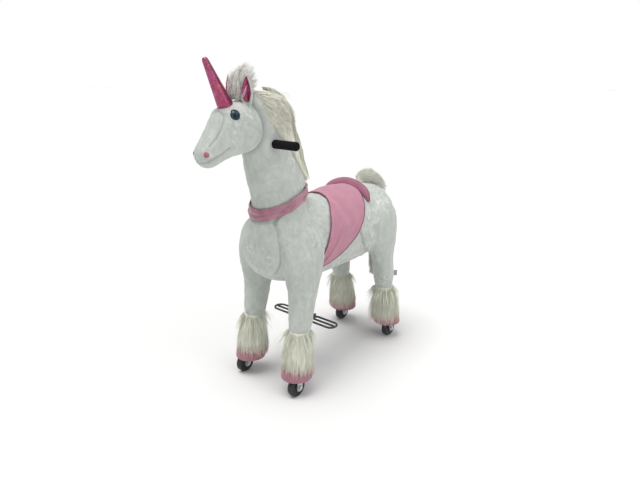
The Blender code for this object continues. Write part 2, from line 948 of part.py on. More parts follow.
def fork(sign, pair, side):
    """Two cheek plates under a crown, with a stem up into the leg tube."""
    x = side * wheel_x(sign)
    place = leg_place(sign, x)
    bottom = -leg_length
    deep = fork_half_depth
    outline = arc((0, bottom), deep, 180, 360, 8)
    outline += [(deep, fork_crown_top), (-deep, fork_crown_top)]
    made = flat_plate(
        f"{pair}_fork_{on_side(side)}",
        [outline],
        2 * fork_half_width,
        "zinc",
        place @ plate_turn,
    )
    gap = wheel_width / 2 + fork_side_gap
    low = bottom - fork_half_depth - cut_overrun
    slot = block(
        f"{pair}_fork_slot_{on_side(side)}",
        (-gap, -deep - cut_overrun, low),
        (gap, deep + cut_overrun, fork_crown_bottom),
        place=place,
    )
    reach = fork_half_width + cut_overrun
    axle = rod(
        f"{pair}_fork_bore_{on_side(side)}",
        place @ Vector((-reach, 0, bottom)),
        place @ Vector((reach, 0, bottom)),
        bolt_radius + seat_gap,
        steps=bolt_steps,
    )
    cut(made, slot, axle)
    sunk = fork_crown_top - fork_crown_height / 2
    stem = rod(
        f"{pair}_fork_stem_{on_side(side)}",
        place @ Vector((0, 0, sunk)),
        place @ Vector((0, 0, fork_crown_top + fork_stem_length)),
        steer_shaft_radius,
        steps=bolt_steps,
    )
    join(made, stem)


def steering_rod(side):
    """The rod that turns a front fork's stem, up inside the leg tube, with its crank and crank pin."""
    place = leg_place(front_sign, side * wheel_x(front_sign))
    made = rod(
        f"front_steering_rod_{on_side(side)}",
        place @ Vector((0, 0, fork_crown_top + fork_stem_length + seat_gap)),
        place @ Vector((0, 0, crank_rise + crank_thickness / 2)),
        steer_shaft_radius,
        "zinc",
        steps=bolt_steps,
    )
    crank = flat_plate(
        f"crank_{on_side(side)}",
        [stadium((0, 0), (0, crank_length), tie_rod_half_width)],
        crank_thickness,
        place=place @ Matrix.Translation((0, 0, crank_rise + crank_thickness / 2)),
    )
    pin_top = crank_rise + crank_thickness + seat_gap + tie_rod_thickness
    pin = rod(
        f"crank_pin_{on_side(side)}",
        place @ Vector((0, crank_length, crank_rise)),
        place @ Vector((0, crank_length, pin_top)),
        crank_pin_radius,
        steps=bolt_steps,
    )
    join(made, crank, pin)


def tie_rod():
    """The bar that joins both cranks, with the pin that the column's arm pushes sideways."""
    place = leg_place(front_sign)
    low = crank_rise + crank_thickness + seat_gap
    middle = low + tie_rod_thickness / 2
    eye = crank_pin_radius + running_gap
    half = wheel_x(front_sign)
    outline = stadium((-half, crank_length), (half, crank_length), tie_rod_half_width)
    holes = [circle((side * half, crank_length), eye) for side in (-1, 1)]
    made = flat_plate(
        "tie_rod",
        [outline, *holes],
        tie_rod_thickness,
        "zinc",
        place @ Matrix.Translation((0, 0, middle)),
    )
    pin_top = low + tie_rod_thickness + tie_rod_lift_gap + drop_arm_thickness
    pin = rod(
        "tie_rod_pin",
        place @ Vector((0, crank_length, middle)),
        place @ Vector((0, crank_length, pin_top)),
        crank_pin_radius,
        steps=bolt_steps,
    )
    join(made, pin)


def steering():
    """The column up the neck with its drop arm, the handlebar and the two grips."""
    place = neck_place()
    tie_place = leg_place(front_sign)
    rod_top = crank_rise + crank_thickness + seat_gap + tie_rod_thickness
    pin_foot = place.inverted() @ tie_place @ Vector((0, crank_length, rod_top))
    slope = math.sin(leg_lean + steer_tilt)
    arm_bottom = pin_foot.z + tie_rod_half_width * slope + tie_rod_lift_gap
    handle = place.inverted() @ Vector((0, handle_y, handle_height))
    column = rod(
        "steering_column",
        place @ Vector((0, 0, arm_bottom)),
        place @ Vector((0, 0, handle.z + column_radius)),
        column_radius,
        "painted_steel",
    )
    slot_half = crank_pin_radius + steering_lash
    slot_start = column_radius + slot_half
    reach = pin_foot.y + crank_pin_radius + drop_arm_overhang
    width = drop_arm_half_width
    outline = [(-width, 0), (width, 0), (width, reach), (slot_half, reach)]
    outline += arc((0, slot_start), slot_half, 0, -180, 6)
    outline += [(-slot_half, reach), (-width, reach)]
    arm = flat_plate(
        "drop_arm",
        [outline],
        drop_arm_thickness,
        place=place @ Matrix.Translation((0, 0, arm_bottom + drop_arm_thickness / 2)),
    )
    join(column, arm)
    stem = rod("handle_stem", place @ Vector((0, 0, handle.z)), place @ handle, handle_radius)
    join(column, stem)
    half_length = grip_outer_end - grip_end_wall - seat_gap
    rod(
        "handlebar",
        (-half_length, handle_y, handle_height),
        (half_length, handle_y, handle_height),
        handle_radius,
        "painted_steel",
    )
    seat = rod(
        "handlebar_seat",
        (-half_length - cut_overrun, handle_y, handle_height),
        (half_length + cut_overrun, handle_y, handle_height),
        handle_radius + seat_gap,
    )
    cut(column, seat)
    for side in (-1, 1):
        grip(side)


def grip(side):
    """A foam sleeve with a closed, rounded outer end."""
    bore = handle_radius + seat_gap
    edge = grip_edge_radius
    blind = grip_outer_end - grip_end_wall
    profile = [(0, grip_outer_end), (grip_radius - edge, grip_outer_end)]
    profile += arc((grip_radius - edge, grip_outer_end - edge), edge, 60, 0, 2)
    profile += [(grip_radius, grip_inner_end), (bore, grip_inner_end), (bore, blind), (0, blind)]
    turn = Matrix.Rotation(side * math.radians(90), 4, "Y")
    place = Matrix.Translation((0, handle_y, handle_height)) @ turn
    turned(f"grip_{on_side(side)}", profile, "foam", place)


def slab(name, low, high):
    """A wide block square to the steering column, for cuts across the neck."""
    wide = trunk_half_width + cut_overrun
    return block(name, (-wide, -wide, low), (wide, wide, high), place=neck_place())


def leg_bodies(sign, pair):
    for side in (-1, 1):
        where = on_side(side)
        leg = leg_form(f"{pair}_leg_{where}", sign, side, "plush")
        low = -leg_length
        bore = leg_line(
            f"{pair}_leg_bore_{where}",
            leg_tube_radius + seat_gap,
            sign,
            side * wheel_x(sign),
            low,
            leg_tube_top + seat_gap,
        )
        cross = cross_line(
            f"{pair}_cross_bore_{where}",
            cross_tube_radius + seat_gap,
            sign,
            wheel_x(sign),
        )
        cut(leg, bore, cross)
        if sign < 0:
            cut(leg, crank_chamber(side))
        cuff(sign, pair, side, bore)
        hoof(sign, pair, side, bore)


def crank_chamber(side):
    """The space inside a front leg in which its crank swings."""
    place = leg_place(front_sign)
    sweep = crank_length * math.sin(math.radians(steer_degrees))
    outer = wheel_x(front_sign) + sweep + tie_rod_half_width + running_gap
    inner = leg_top_x - leg_half_width - cut_overrun
    low_x, high_x = sorted((side * inner, side * outer))
    top = crank_rise + crank_thickness + tie_rod_thickness + 2 * seat_gap
    return block(
        f"crank_chamber_{on_side(side)}",
        (low_x, -tie_rod_half_width - running_gap, leg_tube_top),
        (high_x, crank_length + tie_rod_half_width + running_gap, top + seat_gap),
        place=place,
    )


# Shares: the way down the cuff, then how far its radius has flared out.
cuff_section_shares = ((0.0, 0.0), (0.12, 0.50), (0.55, 1.0), (1.0, 0.72))


def cuff(sign, pair, side, bore):
    """The long-haired cuff, which flares from the shank to the hoof."""
    rings = []
    for down, flare in cuff_section_shares:
        height = cuff_top_height - seat_gap - down * (cuff_top_height - cuff_bottom_height)
        radius = shank_radius + flare * (cuff_flare_radius - shank_radius)
        centre = (side * leg_middle_x(height), leg_middle_y(sign, height), height)
        rings.append(ring(centre, across_x, along_y, radius, radius, radius))
    made = lofted(f"{pair}_cuff_{on_side(side)}", rings, "long_pile", flat=(0, -1))
    cut(made, bore)


# Shares: the way down the hoof, then its radius.
hoof_section_shares = ((0.0, 0.92), (1.0, 1.0))


def hoof(sign, pair, side, bore):
    """The flared hoof, hollow below so that the wheel and its fork can turn."""
    rings = []
    top = cuff_bottom_height - 2 * seat_gap
    for down, flare in hoof_section_shares:
        height = top - down * (top - hoof_bottom_height)
        radius = flare * hoof_radius
        centre = (side * leg_middle_x(height), leg_middle_y(sign, height), height)
        rings.append(ring(centre, across_x, along_y, radius, radius, radius))
    made = lofted(f"{pair}_hoof_{on_side(side)}", rings, "pink_cloth", flat=(0, -1))
    low = -leg_length - wheel_radius
    hollow = leg_line(
        f"{pair}_hoof_hollow_{on_side(side)}",
        hoof_hollow_radius,
        sign,
        side * wheel_x(sign),
        low,
        fork_crown_top + hoof_roof_gap,
    )
    cut(made, hollow, bore)


def trunk():
    """The stuffed trunk, with a chamber for the frame and recesses in which the legs swing."""
    body = trunk_form("trunk", "plush")
    stub = neck_form("neck_stub")
    cut(stub, slab("above_split", -seat_gap, neck_top_height))
    join(body, stub)
    end = pivot_spread / 2 + cross_tube_radius + recess_gap + beam_overhang
    half_width = leg_top_x - leg_half_width + recess_gap / 2
    chamber = block(
        "chamber",
        (-half_width, -end, chamber_floor),
        (half_width, end, beam_bottom + beam_height + seat_gap),
    )
    cut(body, chamber)
    place = neck_place()
    cut(
        body,
        rod(
            "head_tube_room",
            place @ Vector((0, 0, beam_bottom - neck_plane_height)),
            place @ Vector((0, 0, cut_overrun)),
            column_radius + head_tube_wall + running_gap + seat_gap,
        ),
        rod(
            "post_hole",
            (0, post_y, foot_height),
            (0, post_y, chamber_floor + cut_overrun),
            post_radius + recess_gap,
        ),
    )
    for sign in (front_sign, rear_sign):
        for side in (-1, 1):
            cut(body, recess(sign, side))
    cut(body, tie_rod_room())


def tie_rod_room():
    """The space in which the tie rod moves as the front legs swing, out to both legs' recesses."""
    tip = crank_length + tie_rod_half_width
    top = crank_rise + crank_thickness + tie_rod_thickness + 2 * seat_gap
    low_y = crank_length - tie_rod_half_width - top * math.sin(swing) - recess_gap
    return block(
        "tie_rod_room",
        (-leg_top_x, low_y, crank_rise - recess_gap),
        (leg_top_x, tip + recess_gap, top + tip * math.sin(swing) + recess_gap),
        place=leg_place(front_sign),
    )


def recess(sign, side):
    """The space that a leg sweeps, with room round it."""
    name = f"recess_{sign}_{side}"
    found = bpy.data.objects.get(name)
    if found:
        return found
    return leg_form(
        name,
        sign,
        side,
        growth=recess_gap,
        swing_room=math.tan(swing),
        run_on=cut_overrun,
    )


def neck_and_head():
    """Both are stuffed forms, bored for the column and the handlebar."""
    made = neck_form("neck", "plush")
    place = neck_place()
    handle = place.inverted() @ Vector((0, handle_y, handle_height))
    stem = rod(
        "stem_bore",
        place @ Vector((0, 0, handle.z)),
        Vector((0, handle_y, handle_height)),
        handle_radius + seat_gap,
    )
    bore = rod(
        "neck_bore",
        place @ Vector((0, 0, -cut_overrun)),
        place @ Vector((0, 0, handle.z + column_radius + seat_gap)),
        column_radius + seat_gap,
    )
    bar = rod(
        "handlebar_bore",
        (-grip_outer_end, handle_y, handle_height),
        (grip_outer_end, handle_y, handle_height),
        handle_radius + seat_gap,
    )
    ends = []
    for side in (-1, 1):
        ends.append(
            rod(
                f"grip_seat_{on_side(side)}",
                (side * (grip_inner_end - seat_gap), handle_y, handle_height),
                (side * grip_outer_end, handle_y, handle_height),
                grip_radius + seat_gap,
            )
        )
    cut(made, slab("below_split", -neck_top_height, seat_gap))
    cut(made, head_form("head_room", growth=seat_gap), bore, bar, stem, *ends)
    cut(head_form("head", "plush"), bore, bar, stem)


def horn_place():
    """Axes of the horn: origin at its base, local Z up to its tip."""
    turn = Matrix.Rotation(math.radians(horn_lean_degrees), 4, "X")
    return Matrix.Translation((0, horn_base_y, horn_base_height)) @ turn


def face():
    """The horn, ears, eyes and nostrils, each seated on the head."""
    room = head_form("head_seat", growth=seat_gap)
    sunk = horn_base_radius
    profile = [(0, horn_length)]
    tip = horn_tip_radius
    profile += arc((0, horn_length - tip), tip, 60, 10, 3)
    profile += [(horn_base_radius, 0), (horn_base_radius, -sunk), (0, -sunk)]
    horn = turned("horn", profile, "pink_foil", horn_place())
    cut(horn, room)
    for side in (-1, 1):
        ear(side, room)
        spot("eye", side, (eye_x, eye_y, eye_height), eye_radius, "eye", room)
        spot(
            "nostril",
            side,
            (nostril_x, nostril_y, nostril_height),
            nostril_radius,
            "pink_foil",
            room,
        )


def spot(name, side, place, radius, look, room):
    """A domed round piece on one side of the head."""
    bm = bmesh.new()
    bmesh.ops.create_uvsphere(bm, u_segments=12, v_segments=8, radius=radius)
    where = Matrix.Translation((side * place[0], place[1], place[2]))
    made = put(f"{name}_{on_side(side)}", mesh_from(bm, name), look, where)
    cut(made, room)


# Shares: the way up the ear, then its width and its thickness.
ear_section_shares = (
    (-0.12, 0.55, 0.8),
    (0.10, 0.80, 1.0),
    (0.40, 1.00, 0.9),
    (0.72, 0.68, 0.7),
    (1.00, 0.14, 0.3),
)


def ear_form(name, side, look=None, growth=0.0):
    rings = []
    for along, width, thick in ear_section_shares:
        centre = (side * ear_x, ear_y, ear_base_height + along * ear_length)
        half_depth = thick * ear_half_thickness
        half_width = width * ear_half_width
        rings.append(ring(centre, across_x, along_y, half_width, half_depth, half_depth))
    return lofted(name, rings, look, growth=growth)


def ear_room(side):
    return ear_form(f"ear_room_{on_side(side)}", side, growth=seat_gap)


def ear(side, room):
    made = ear_form(f"ear_{on_side(side)}", side, "plush")
    cut(made, room, neck_form(f"neck_by_ear_{on_side(side)}", growth=seat_gap))


# Shares of the mane's path: back from the poll, height, lean in quarter turns, width and depth.
mane_path_shares = (
    (0.00, 1.00, 0.00, 0.60, 0.60),
    (0.22, 0.97, 0.20, 0.90, 0.90),
    (0.46, 0.83, 0.50, 1.00, 1.00),
    (0.66, 0.62, 0.75, 1.00, 1.00),
    (0.82, 0.36, 0.88, 0.90, 0.90),
    (0.94, 0.12, 0.90, 0.62, 0.70),
    (1.00, 0.00, 0.90, 0.22, 0.30),
)


def mane():
    rings = []
    for back, high, lean, width, depth in mane_path_shares:
        centre = Vector(
            (
                mane_side_shift,
                mane_front_y + back * (mane_back_y - mane_front_y),
                mane_bottom + high * (mane_top - mane_bottom),
            )
        )
        out = Vector((0, math.sin(lean * math.pi / 2), math.cos(lean * math.pi / 2)))
        half_depth = depth * mane_half_depth
        rings.append(
            ring(centre, across_x, out, width * mane_half_width, half_depth, half_depth)
        )
    made = lofted("mane", rings, "long_pile")
    cut(made, neck_form("neck_by_mane", growth=seat_gap), head_form("head_by_mane", growth=seat_gap))


# Shares: the way up the forelock, then its radius.
forelock_section_shares = ((-0.15, 0.7), (0.15, 1.0), (0.5, 0.85), (0.8, 0.5), (1.0, 0.2))


def forelock():
    rings = []
    for along, width in forelock_section_shares:
        centre = (
            0,
            ear_y - ear_half_thickness + along * forelock_lean,
            ear_base_height + along * forelock_height,
        )
        half = width * forelock_half_width
        rings.append(ring(centre, across_x, along_y, half, half, half))
    made = lofted("forelock", rings, "long_pile")
    cut(made, head_form("head_by_forelock", growth=seat_gap))
    cut(made, neck_form("neck_by_forelock", growth=seat_gap))
    foot = horn_place() @ Vector((0, 0, -horn_base_radius))
    tip = horn_place() @ Vector((0, 0, horn_length))
    cut(made, rod("horn_by_forelock", foot, tip, horn_base_radius + seat_gap))
    for side in (-1, 1):
        cut(made, ear_room(side))


# Shares of the tail's path, back and up from its root, then its thickness.
tail_path_shares = (
    (0.00, -0.04, 0.60),
    (0.12, 0.06, 0.80),
    (0.36, 0.10, 1.00),
    (0.66, 0.02, 1.00),
    (0.92, -0.18, 0.95),
    (1.00, -0.42, 0.95),
    (0.98, -0.68, 0.90),
    (0.94, -0.90, 0.60),
    (0.92, -1.00, 0.20),
)


def tail():
    rings = []
    last = len(tail_path_shares) - 1
    for i, (back, up, thick) in enumerate(tail_path_shares):
        before, after = tail_path_shares[max(i - 1, 0)], tail_path_shares[min(i + 1, last)]
        run = Vector((0, (after[0] - before[0]) * tail_reach, (after[1] - before[1]) * tail_length))
        out = across_x.cross(run.normalized())
        centre = (0, tail_root_y + back * tail_reach, tail_root_height + up * tail_length)
        half = thick * tail_radius
        rings.append(ring(centre, across_x, out, half, half, half))
    made = lofted("tail", rings, "long_pile")
    cut(made, trunk_form("trunk_by_tail", growth=seat_gap))


# The saddle cloth's side outline, as shares of the trunk's length and half height from its middle.
cloth_outline_shares = (
    (0.425, 1.40),
    (0.415, 1.02),
    (0.380, 0.80),
    (0.322, 0.36),
    (0.266, -0.04),
    (0.228, -0.36),
    (0.256, -0.40),
    (0.330, -0.30),
    (0.425, -0.10),
    (0.520, 0.14),
    (0.590, 0.42),
    (0.640, 0.70),
    (0.690, 1.02),
    (0.700, 1.40),
)


def saddle_cloth():
    """A cloth that lies over the trunk and narrows to a point low on each side."""
    made = trunk_form("saddle_cloth", "pink_cloth", growth=seat_gap + cloth_thickness)
    outline = []
    for along, up in cloth_outline_shares:
        y = trunk_front + along * (trunk_rear - trunk_front)
        outline.append((y, trunk_middle_height + up * trunk_half_height))
    prism = flat_plate("cloth_outline", [outline], 2 * (trunk_half_width + cut_overrun), place=plate_turn)
    combine(made, prism, "INTERSECT")
    cut(made, trunk_form("trunk_by_cloth", growth=seat_gap))
    cut(made, recess(front_sign, -1), recess(front_sign, 1))


def collar():
    """A band round the foot of the neck, up to the split."""
    made = neck_form("collar", "pink_satin", growth=seat_gap + collar_thickness)
    combine(made, slab("collar_band", -collar_width, -running_gap), "INTERSECT")
    cut(made, neck_form("neck_by_collar", growth=seat_gap))
    cut(made, trunk_form("trunk_by_collar", growth=seat_gap))


# Shares: the way round from the top of the back, then the roll's thickness and its height.
cantle_section_shares = (
    (-1.00, 0.35, 0.64),
    (-0.72, 1.00, 1.00),
    (-0.36, 1.00, 1.00),
    (0.00, 1.00, 1.00),
    (0.36, 1.00, 1.00),
    (0.72, 1.00, 1.00),
    (1.00, 0.35, 0.64),
)


def cantle():
    """The raised lip behind the rider, a padded roll bent over the trunk."""
    rings = []
    for way, thin, tall in cantle_section_shares:
        turn = math.radians(way * cantle_reach_degrees)
        out = Vector((math.sin(turn), cantle_rake_share * math.cos(turn), math.cos(turn))).normalized()
        middle = Vector((0, cantle_y, cantle_middle_height)) + out * cantle_span
        along = Vector((math.cos(turn), 0, -math.sin(turn)))
        side = out.cross(along).normalized()
        high = tall * cantle_height / 2
        rings.append(ring(middle, side, out, thin * cantle_half_thickness, high, high))
    made = lofted("saddle_cantle", rings, "pink_cloth")
    cut(made, trunk_form("trunk_by_cantle", growth=cloth_thickness + 2 * seat_gap))


def joint(name, place, pieces):
    """An empty on the axis of a joint, its local Z along the axis, that carries the moving pieces."""
    made = bpy.data.objects.new(name, None)
    made.empty_display_size = wheel_radius
    made.matrix_world = place
    parts.objects.link(made)
    for piece in pieces:
        child = parts.objects[piece]
        world = child.matrix_world.copy()
        child.parent = made
        child.matrix_parent_inverse = place.inverted()
        child.matrix_world = world
    return made


def joints():
    """One empty for each joint, on its axis."""
    across = Matrix.Rotation(math.radians(90), 4, "Y")
    for sign, pair in ((front_sign, "front"), (rear_sign, "rear")):
        swung = [f"{pair}_cross_tube"]
        for side in (-1, 1):
            where = on_side(side)
            place = leg_place(sign, side * wheel_x(sign))
            axle = Matrix.Translation(place @ Vector((0, 0, -leg_length))) @ across
            joint(f"{pair}_axle_{where}", axle, [f"{pair}_wheel_{where}"])
            held = [f"{pair}_fork_{where}", f"{pair}_axle_bolt_{where}"]
            if sign < 0:
                held.append(f"front_steering_rod_{where}")
                joint(f"steer_axis_{where}", place, held)
                held = []
            swung += [f"{pair}_leg_tube_{where}", f"{pair}_leg_{where}"]
            swung += [f"{pair}_cuff_{where}", f"{pair}_hoof_{where}", *held]
        if sign > 0:
            swung.append("sewn_tab")
        pivot = Matrix.Translation((0, sign * pivot_spread / 2, pivot_height)) @ across
        joint(f"{pair}_legs_axis", pivot, swung)
    link = leg_place(front_sign, wheel_x(front_sign))
    joint("tie_rod_axis", link @ Matrix.Translation((0, crank_length, 0)), ["tie_rod"])
    foot = Matrix.Translation((0, post_y, foot_height))
    joint("foot_post_axis", foot, ["foot_post", "foot_loop_left", "foot_loop_right"])
    turned_by_neck = ["steering_column", "handlebar", "neck", "head", "horn", "mane", "forelock"]
    for where in ("left", "right"):
        turned_by_neck += [f"{piece}_{where}" for piece in ("grip", "ear", "eye", "nostril")]
    joint("neck_axis", neck_place(), turned_by_neck)


def sewn_tab():
    """A small blank tab in a seam at the back of the left hind leg."""
    centre = Vector((leg_middle_x(tab_height), leg_middle_y(rear_sign, tab_height), tab_height))
    turn = Matrix.Rotation(-math.radians(tab_turn_degrees), 4, "Z")
    reach = leg_half_depth(rear_sign, tab_height) + tab_width
    made = block(
        "sewn_tab",
        (-tab_thickness / 2, 0, -tab_length / 2),
        (tab_thickness / 2, reach, tab_length / 2),
        "label",
        Matrix.Translation(centre) @ turn,
    )
    cut(made, leg_form("leg_by_tab", rear_sign, 1, growth=seat_gap))


def build():
    main_frame()
    for sign, pair in ((front_sign, "front"), (rear_sign, "rear")):
        pivot_bush(sign, pair)
        leg_frames(sign, pair)
        leg_bodies(sign, pair)
        for side in (-1, 1):
            fork(sign, pair, side)
            wheel(sign, pair, side)
    foot_post()
    for side in (-1, 1):
        steering_rod(side)
        foot_loop(side)
    tie_rod()
    steering()
    trunk()
    neck_and_head()
    face()
    mane()
    forelock()
    tail()
    saddle_cloth()
    cantle()
    collar()
    sewn_tab()
    joints()


build()
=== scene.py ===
"""Looks of the plush unicorn that a child rides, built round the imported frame.

The front of the animal is -Y, its left side is +X, and up is +Z. Lengths are in metres.
"""

import math

import bmesh
import bpy
import numpy as np
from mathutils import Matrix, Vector, noise
from mathutils.bvhtree import BVHTree


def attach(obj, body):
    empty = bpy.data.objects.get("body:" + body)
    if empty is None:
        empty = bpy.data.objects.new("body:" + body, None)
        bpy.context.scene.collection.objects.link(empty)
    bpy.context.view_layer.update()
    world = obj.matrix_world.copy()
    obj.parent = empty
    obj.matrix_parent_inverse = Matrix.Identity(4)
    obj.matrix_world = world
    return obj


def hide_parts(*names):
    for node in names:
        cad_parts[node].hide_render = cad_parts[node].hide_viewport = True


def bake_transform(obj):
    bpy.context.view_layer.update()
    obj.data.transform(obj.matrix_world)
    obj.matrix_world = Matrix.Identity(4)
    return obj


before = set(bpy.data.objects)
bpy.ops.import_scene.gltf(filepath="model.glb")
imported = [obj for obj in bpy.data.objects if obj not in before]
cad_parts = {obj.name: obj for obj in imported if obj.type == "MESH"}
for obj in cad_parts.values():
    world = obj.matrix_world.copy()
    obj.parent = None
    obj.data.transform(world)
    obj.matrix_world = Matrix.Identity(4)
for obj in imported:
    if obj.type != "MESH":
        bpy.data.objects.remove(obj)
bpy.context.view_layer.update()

# Camera, measured from the photograph's perspective
camera_place = (1.1273, -1.3600, 0.9831)
camera_azimuth_degrees = 39.848
camera_pitch_degrees = 17.472
camera_sensor = 36.0
camera_lens = 30.314

# Stuffed forms, as the frame has them
pivot_height = 0.45
pivot_spread = 0.40
leg_reach = 0.068
leg_drop = 0.418
trunk_front, trunk_rear = -0.318, 0.345
trunk_middle_height = 0.445
trunk_half_width, trunk_half_height = 0.130, 0.150
neck_plane_height, neck_plane_back = 0.624, -0.2075
neck_tilt = math.radians(7.5)
neck_half_width, neck_half_depth = 0.070, 0.102
neck_foot_height, neck_top_height = 0.500, 0.930
head_length, head_half_width, head_half_height = 0.222, 0.054, 0.070
head_back, head_back_height = -0.298, 0.862
head_droop = math.radians(27)
head_corner_share = 0.10
leg_top_x, leg_foot_x = 0.096, 0.106
foot_set_back = {-1: 0.013, 1: 0.005}
leg_half_width, shank_radius = 0.049, 0.037
joint_radius = {-1: 0.083, 1: 0.104}
cuff_top, cuff_bottom = 0.214, 0.102
cuff_flare_radius = 0.053
leg_bow = {-1: 0.006, 1: 0.010}
leg_run_on = 0.03
hoof_bottom, hoof_radius = 0.057, 0.0505
ear_x, ear_y, ear_base_height = 0.036, -0.354, 0.895
ear_length, ear_half_width, ear_half_thickness = 0.078, 0.018, 0.008
eye_place, eye_radius = (0.0315, -0.3985, 0.8685), 0.018
nostril_place, nostril_radius = (0.0218, -0.4860, 0.7767), 0.0096

# Wheels, grips and foot loops
axle_height, axle_y = 0.032, 0.268
wheel_x = {-1: 0.118, 1: 0.113}
wheel_radius, wheel_width, wheel_bore = 0.032, 0.022, 0.0045
grip_y, grip_height, grip_radius = -0.279, 0.787, 0.0125
grip_inner_end, grip_outer_end, handle_radius = 0.060, 0.147, 0.0095
foot_y, foot_height, foot_start = -0.091, 0.176, 0.0303
foot_loop_length, foot_loop_half_depth, foot_wire_radius = 0.104, 0.021, 0.0035

# Saddle, its raised rear lip, and the collar
cloth_lift, cloth_thickness = 0.0052, 0.0022
piping_radius = 0.0015
lip_foot_y, lip_middle_height = 0.130, 0.516
lip_height, lip_half_thickness = 0.027, 0.0070
lip_reach, lip_rake_share = math.radians(70), 0.60
collar_width, collar_lift = 0.0310, 0.0034
collar_fold, collar_wrinkle = 0.0046, 0.0024
collar_tilt, collar_plane_height = math.radians(18), 0.627
across_x, along_y, upright = Vector((1, 0, 0)), Vector((0, 1, 0)), Vector((0, 0, 1))
pairs = {-1: "front", 1: "rear"}
sides = {1: "left", -1: "right"}

scene = bpy.context.scene
look = bpy.data.collections.new("look")
scene.collection.children.link(look)


def put(name, mesh):
    made = bpy.data.objects.new(name, mesh)
    look.objects.link(made)
    return made


def built(name, bm, closed=True):
    """The form that has been laid out, smooth, and with its faces outwards where it is closed."""
    if closed:
        bmesh.ops.recalc_face_normals(bm, faces=bm.faces)
    mesh = bpy.data.meshes.new(name)
    bm.to_mesh(mesh)
    bm.free()
    mesh.shade_smooth()
    return put(name, mesh)


def settled(thing):
    """The object with its modifiers applied."""
    bpy.context.view_layer.update()
    graph = bpy.context.evaluated_depsgraph_get()
    mesh = bpy.data.meshes.new_from_object(thing.evaluated_get(graph))
    thing.modifiers.clear()
    old = thing.data
    thing.data = mesh
    if old.users == 0:
        bpy.data.meshes.remove(old)
    mesh.shade_smooth()
    return thing


def points_of(mesh):
    found = np.zeros(len(mesh.vertices) * 3)
    mesh.vertices.foreach_get("co", found)
    return found.reshape(-1, 3)


def normals_of(mesh):
    found = np.zeros(len(mesh.vertices) * 3, np.float32)
    mesh.vertex_normals.foreach_get("vector", found)
    return found.reshape(-1, 3).astype(float)


def set_points(mesh, points):
    mesh.vertices.foreach_set("co", np.asarray(points, np.float32).ravel())
    mesh.update()


def noted(mesh, name, values):
    """Writes one number per point, for a material to read."""
    row = mesh.attributes.new(name, "FLOAT", "POINT")
    row.data.foreach_set("value", values.astype(np.float32))


# Forms


def ring(centre, across, rise, half_across, up, down, count=12, corner_share=0.0):
    """Cage points round a section: the smoothed surface passes at the stated half sizes."""
    cage = 6 / (4 + 2 * math.cos(2 * math.pi / count))
    found = []
    for i in range(count):
        angle = 2 * math.pi * i / count
        reach = up if math.sin(angle) > 0 else down
        offset = across * half_across * math.cos(angle) + rise * reach * math.sin(angle)
        swell = 1 + corner_share * abs(math.sin(2 * angle))
        found.append(Vector(centre) + offset * cage * swell)
    return found


def level_ring(centre, half_width, half_depth, count=12):
    return ring(centre, across_x, along_y, half_width, half_depth, half_depth, count)


def bridge(bm, lower, upper):
    """Faces between two rings of points."""
    for i in range(len(lower)):
        j = (i + 1) % len(lower)
        bm.faces.new((lower[i], lower[j], upper[j], upper[i]))


def loft(name, rings, levels=2):
    bm = bmesh.new()
    layers = [[bm.verts.new(point) for point in points] for points in rings]
    for lower, upper in zip(layers, layers[1:]):
        bridge(bm, lower, upper)
    bm.faces.new(layers[0])
    bm.faces.new(layers[-1])
    return refined(built(name, bm), levels)


trunk_section_shares = (
    (0.00, 0.30, 0.48, 0.38, 0.42),
    (0.05, 0.24, 0.68, 0.62, 0.72),
    (0.15, 0.12, 0.88, 0.80, 0.80),
    (0.32, 0.03, 0.97, 0.97, 0.78),
    (0.54, 0.00, 0.99, 0.98, 0.77),
    (0.74, 0.06, 1.00, 1.00, 0.80),
    (0.87, 0.14, 0.93, 0.86, 0.80),
    (0.95, 0.16, 0.74, 0.64, 0.64),
    (1.00, 0.16, 0.44, 0.34, 0.40),
)
neck_section_shares = (
    (0.00, -0.10, 1.20, 1.00),
    (0.14, -0.02, 1.12, 0.98),
    (0.27, 0.02, 0.94, 0.88),
    (0.38, 0.03, 1.02, 1.02),
    (0.52, -0.08, 0.97, 0.95),
    (0.66, -0.16, 0.97, 0.86),
    (0.80, -0.24, 0.94, 0.80),
    (0.92, -0.29, 0.86, 0.71),
    (1.00, -0.32, 0.60, 0.44),
)
head_section_shares = (
    (0.00, 0.00, 0.55, 0.50, 0.60),
    (0.12, 0.02, 0.92, 0.90, 1.00),
    (0.30, 0.06, 1.00, 1.03, 1.05),
    (0.48, 0.06, 0.92, 1.02, 0.85),
    (0.63, 0.00, 0.78, 0.81, 0.59),
    (0.78, -0.06, 0.71, 0.62, 0.45),
    (0.92, -0.09, 0.64, 0.49, 0.39),
    (1.00, -0.10, 0.42, 0.28, 0.28),
)
leg_down_shares = {
    -1: (
        (0.00, 1.00, 1.00),
        (0.24, 0.74, 0.95),
        (0.48, 0.31, 0.84),
        (0.72, 0.05, 0.77),
        (1.00, 0.00, 0.77),
    ),
    1: (
        (0.00, 1.00, 1.00),
        (0.24, 0.60, 0.90),
        (0.48, 0.12, 0.75),
        (0.72, 0.00, 0.74),
        (1.00, -0.04, 0.73),
    ),
}
leg_up_shares = ((0.83, 0.62), (0.44, 0.93))


def trunk_y(along):
    return trunk_front + along * (trunk_rear - trunk_front)


def trunk_form():
    rings = []
    for along, middle, width, up, down in trunk_section_shares:
        centre = (0, trunk_y(along), trunk_middle_height + middle * trunk_half_height)
        sizes = width * trunk_half_width, up * trunk_half_height, down * trunk_half_height
        rings.append(ring(centre, across_x, upright, *sizes))
    return loft("trunk_form", rings)


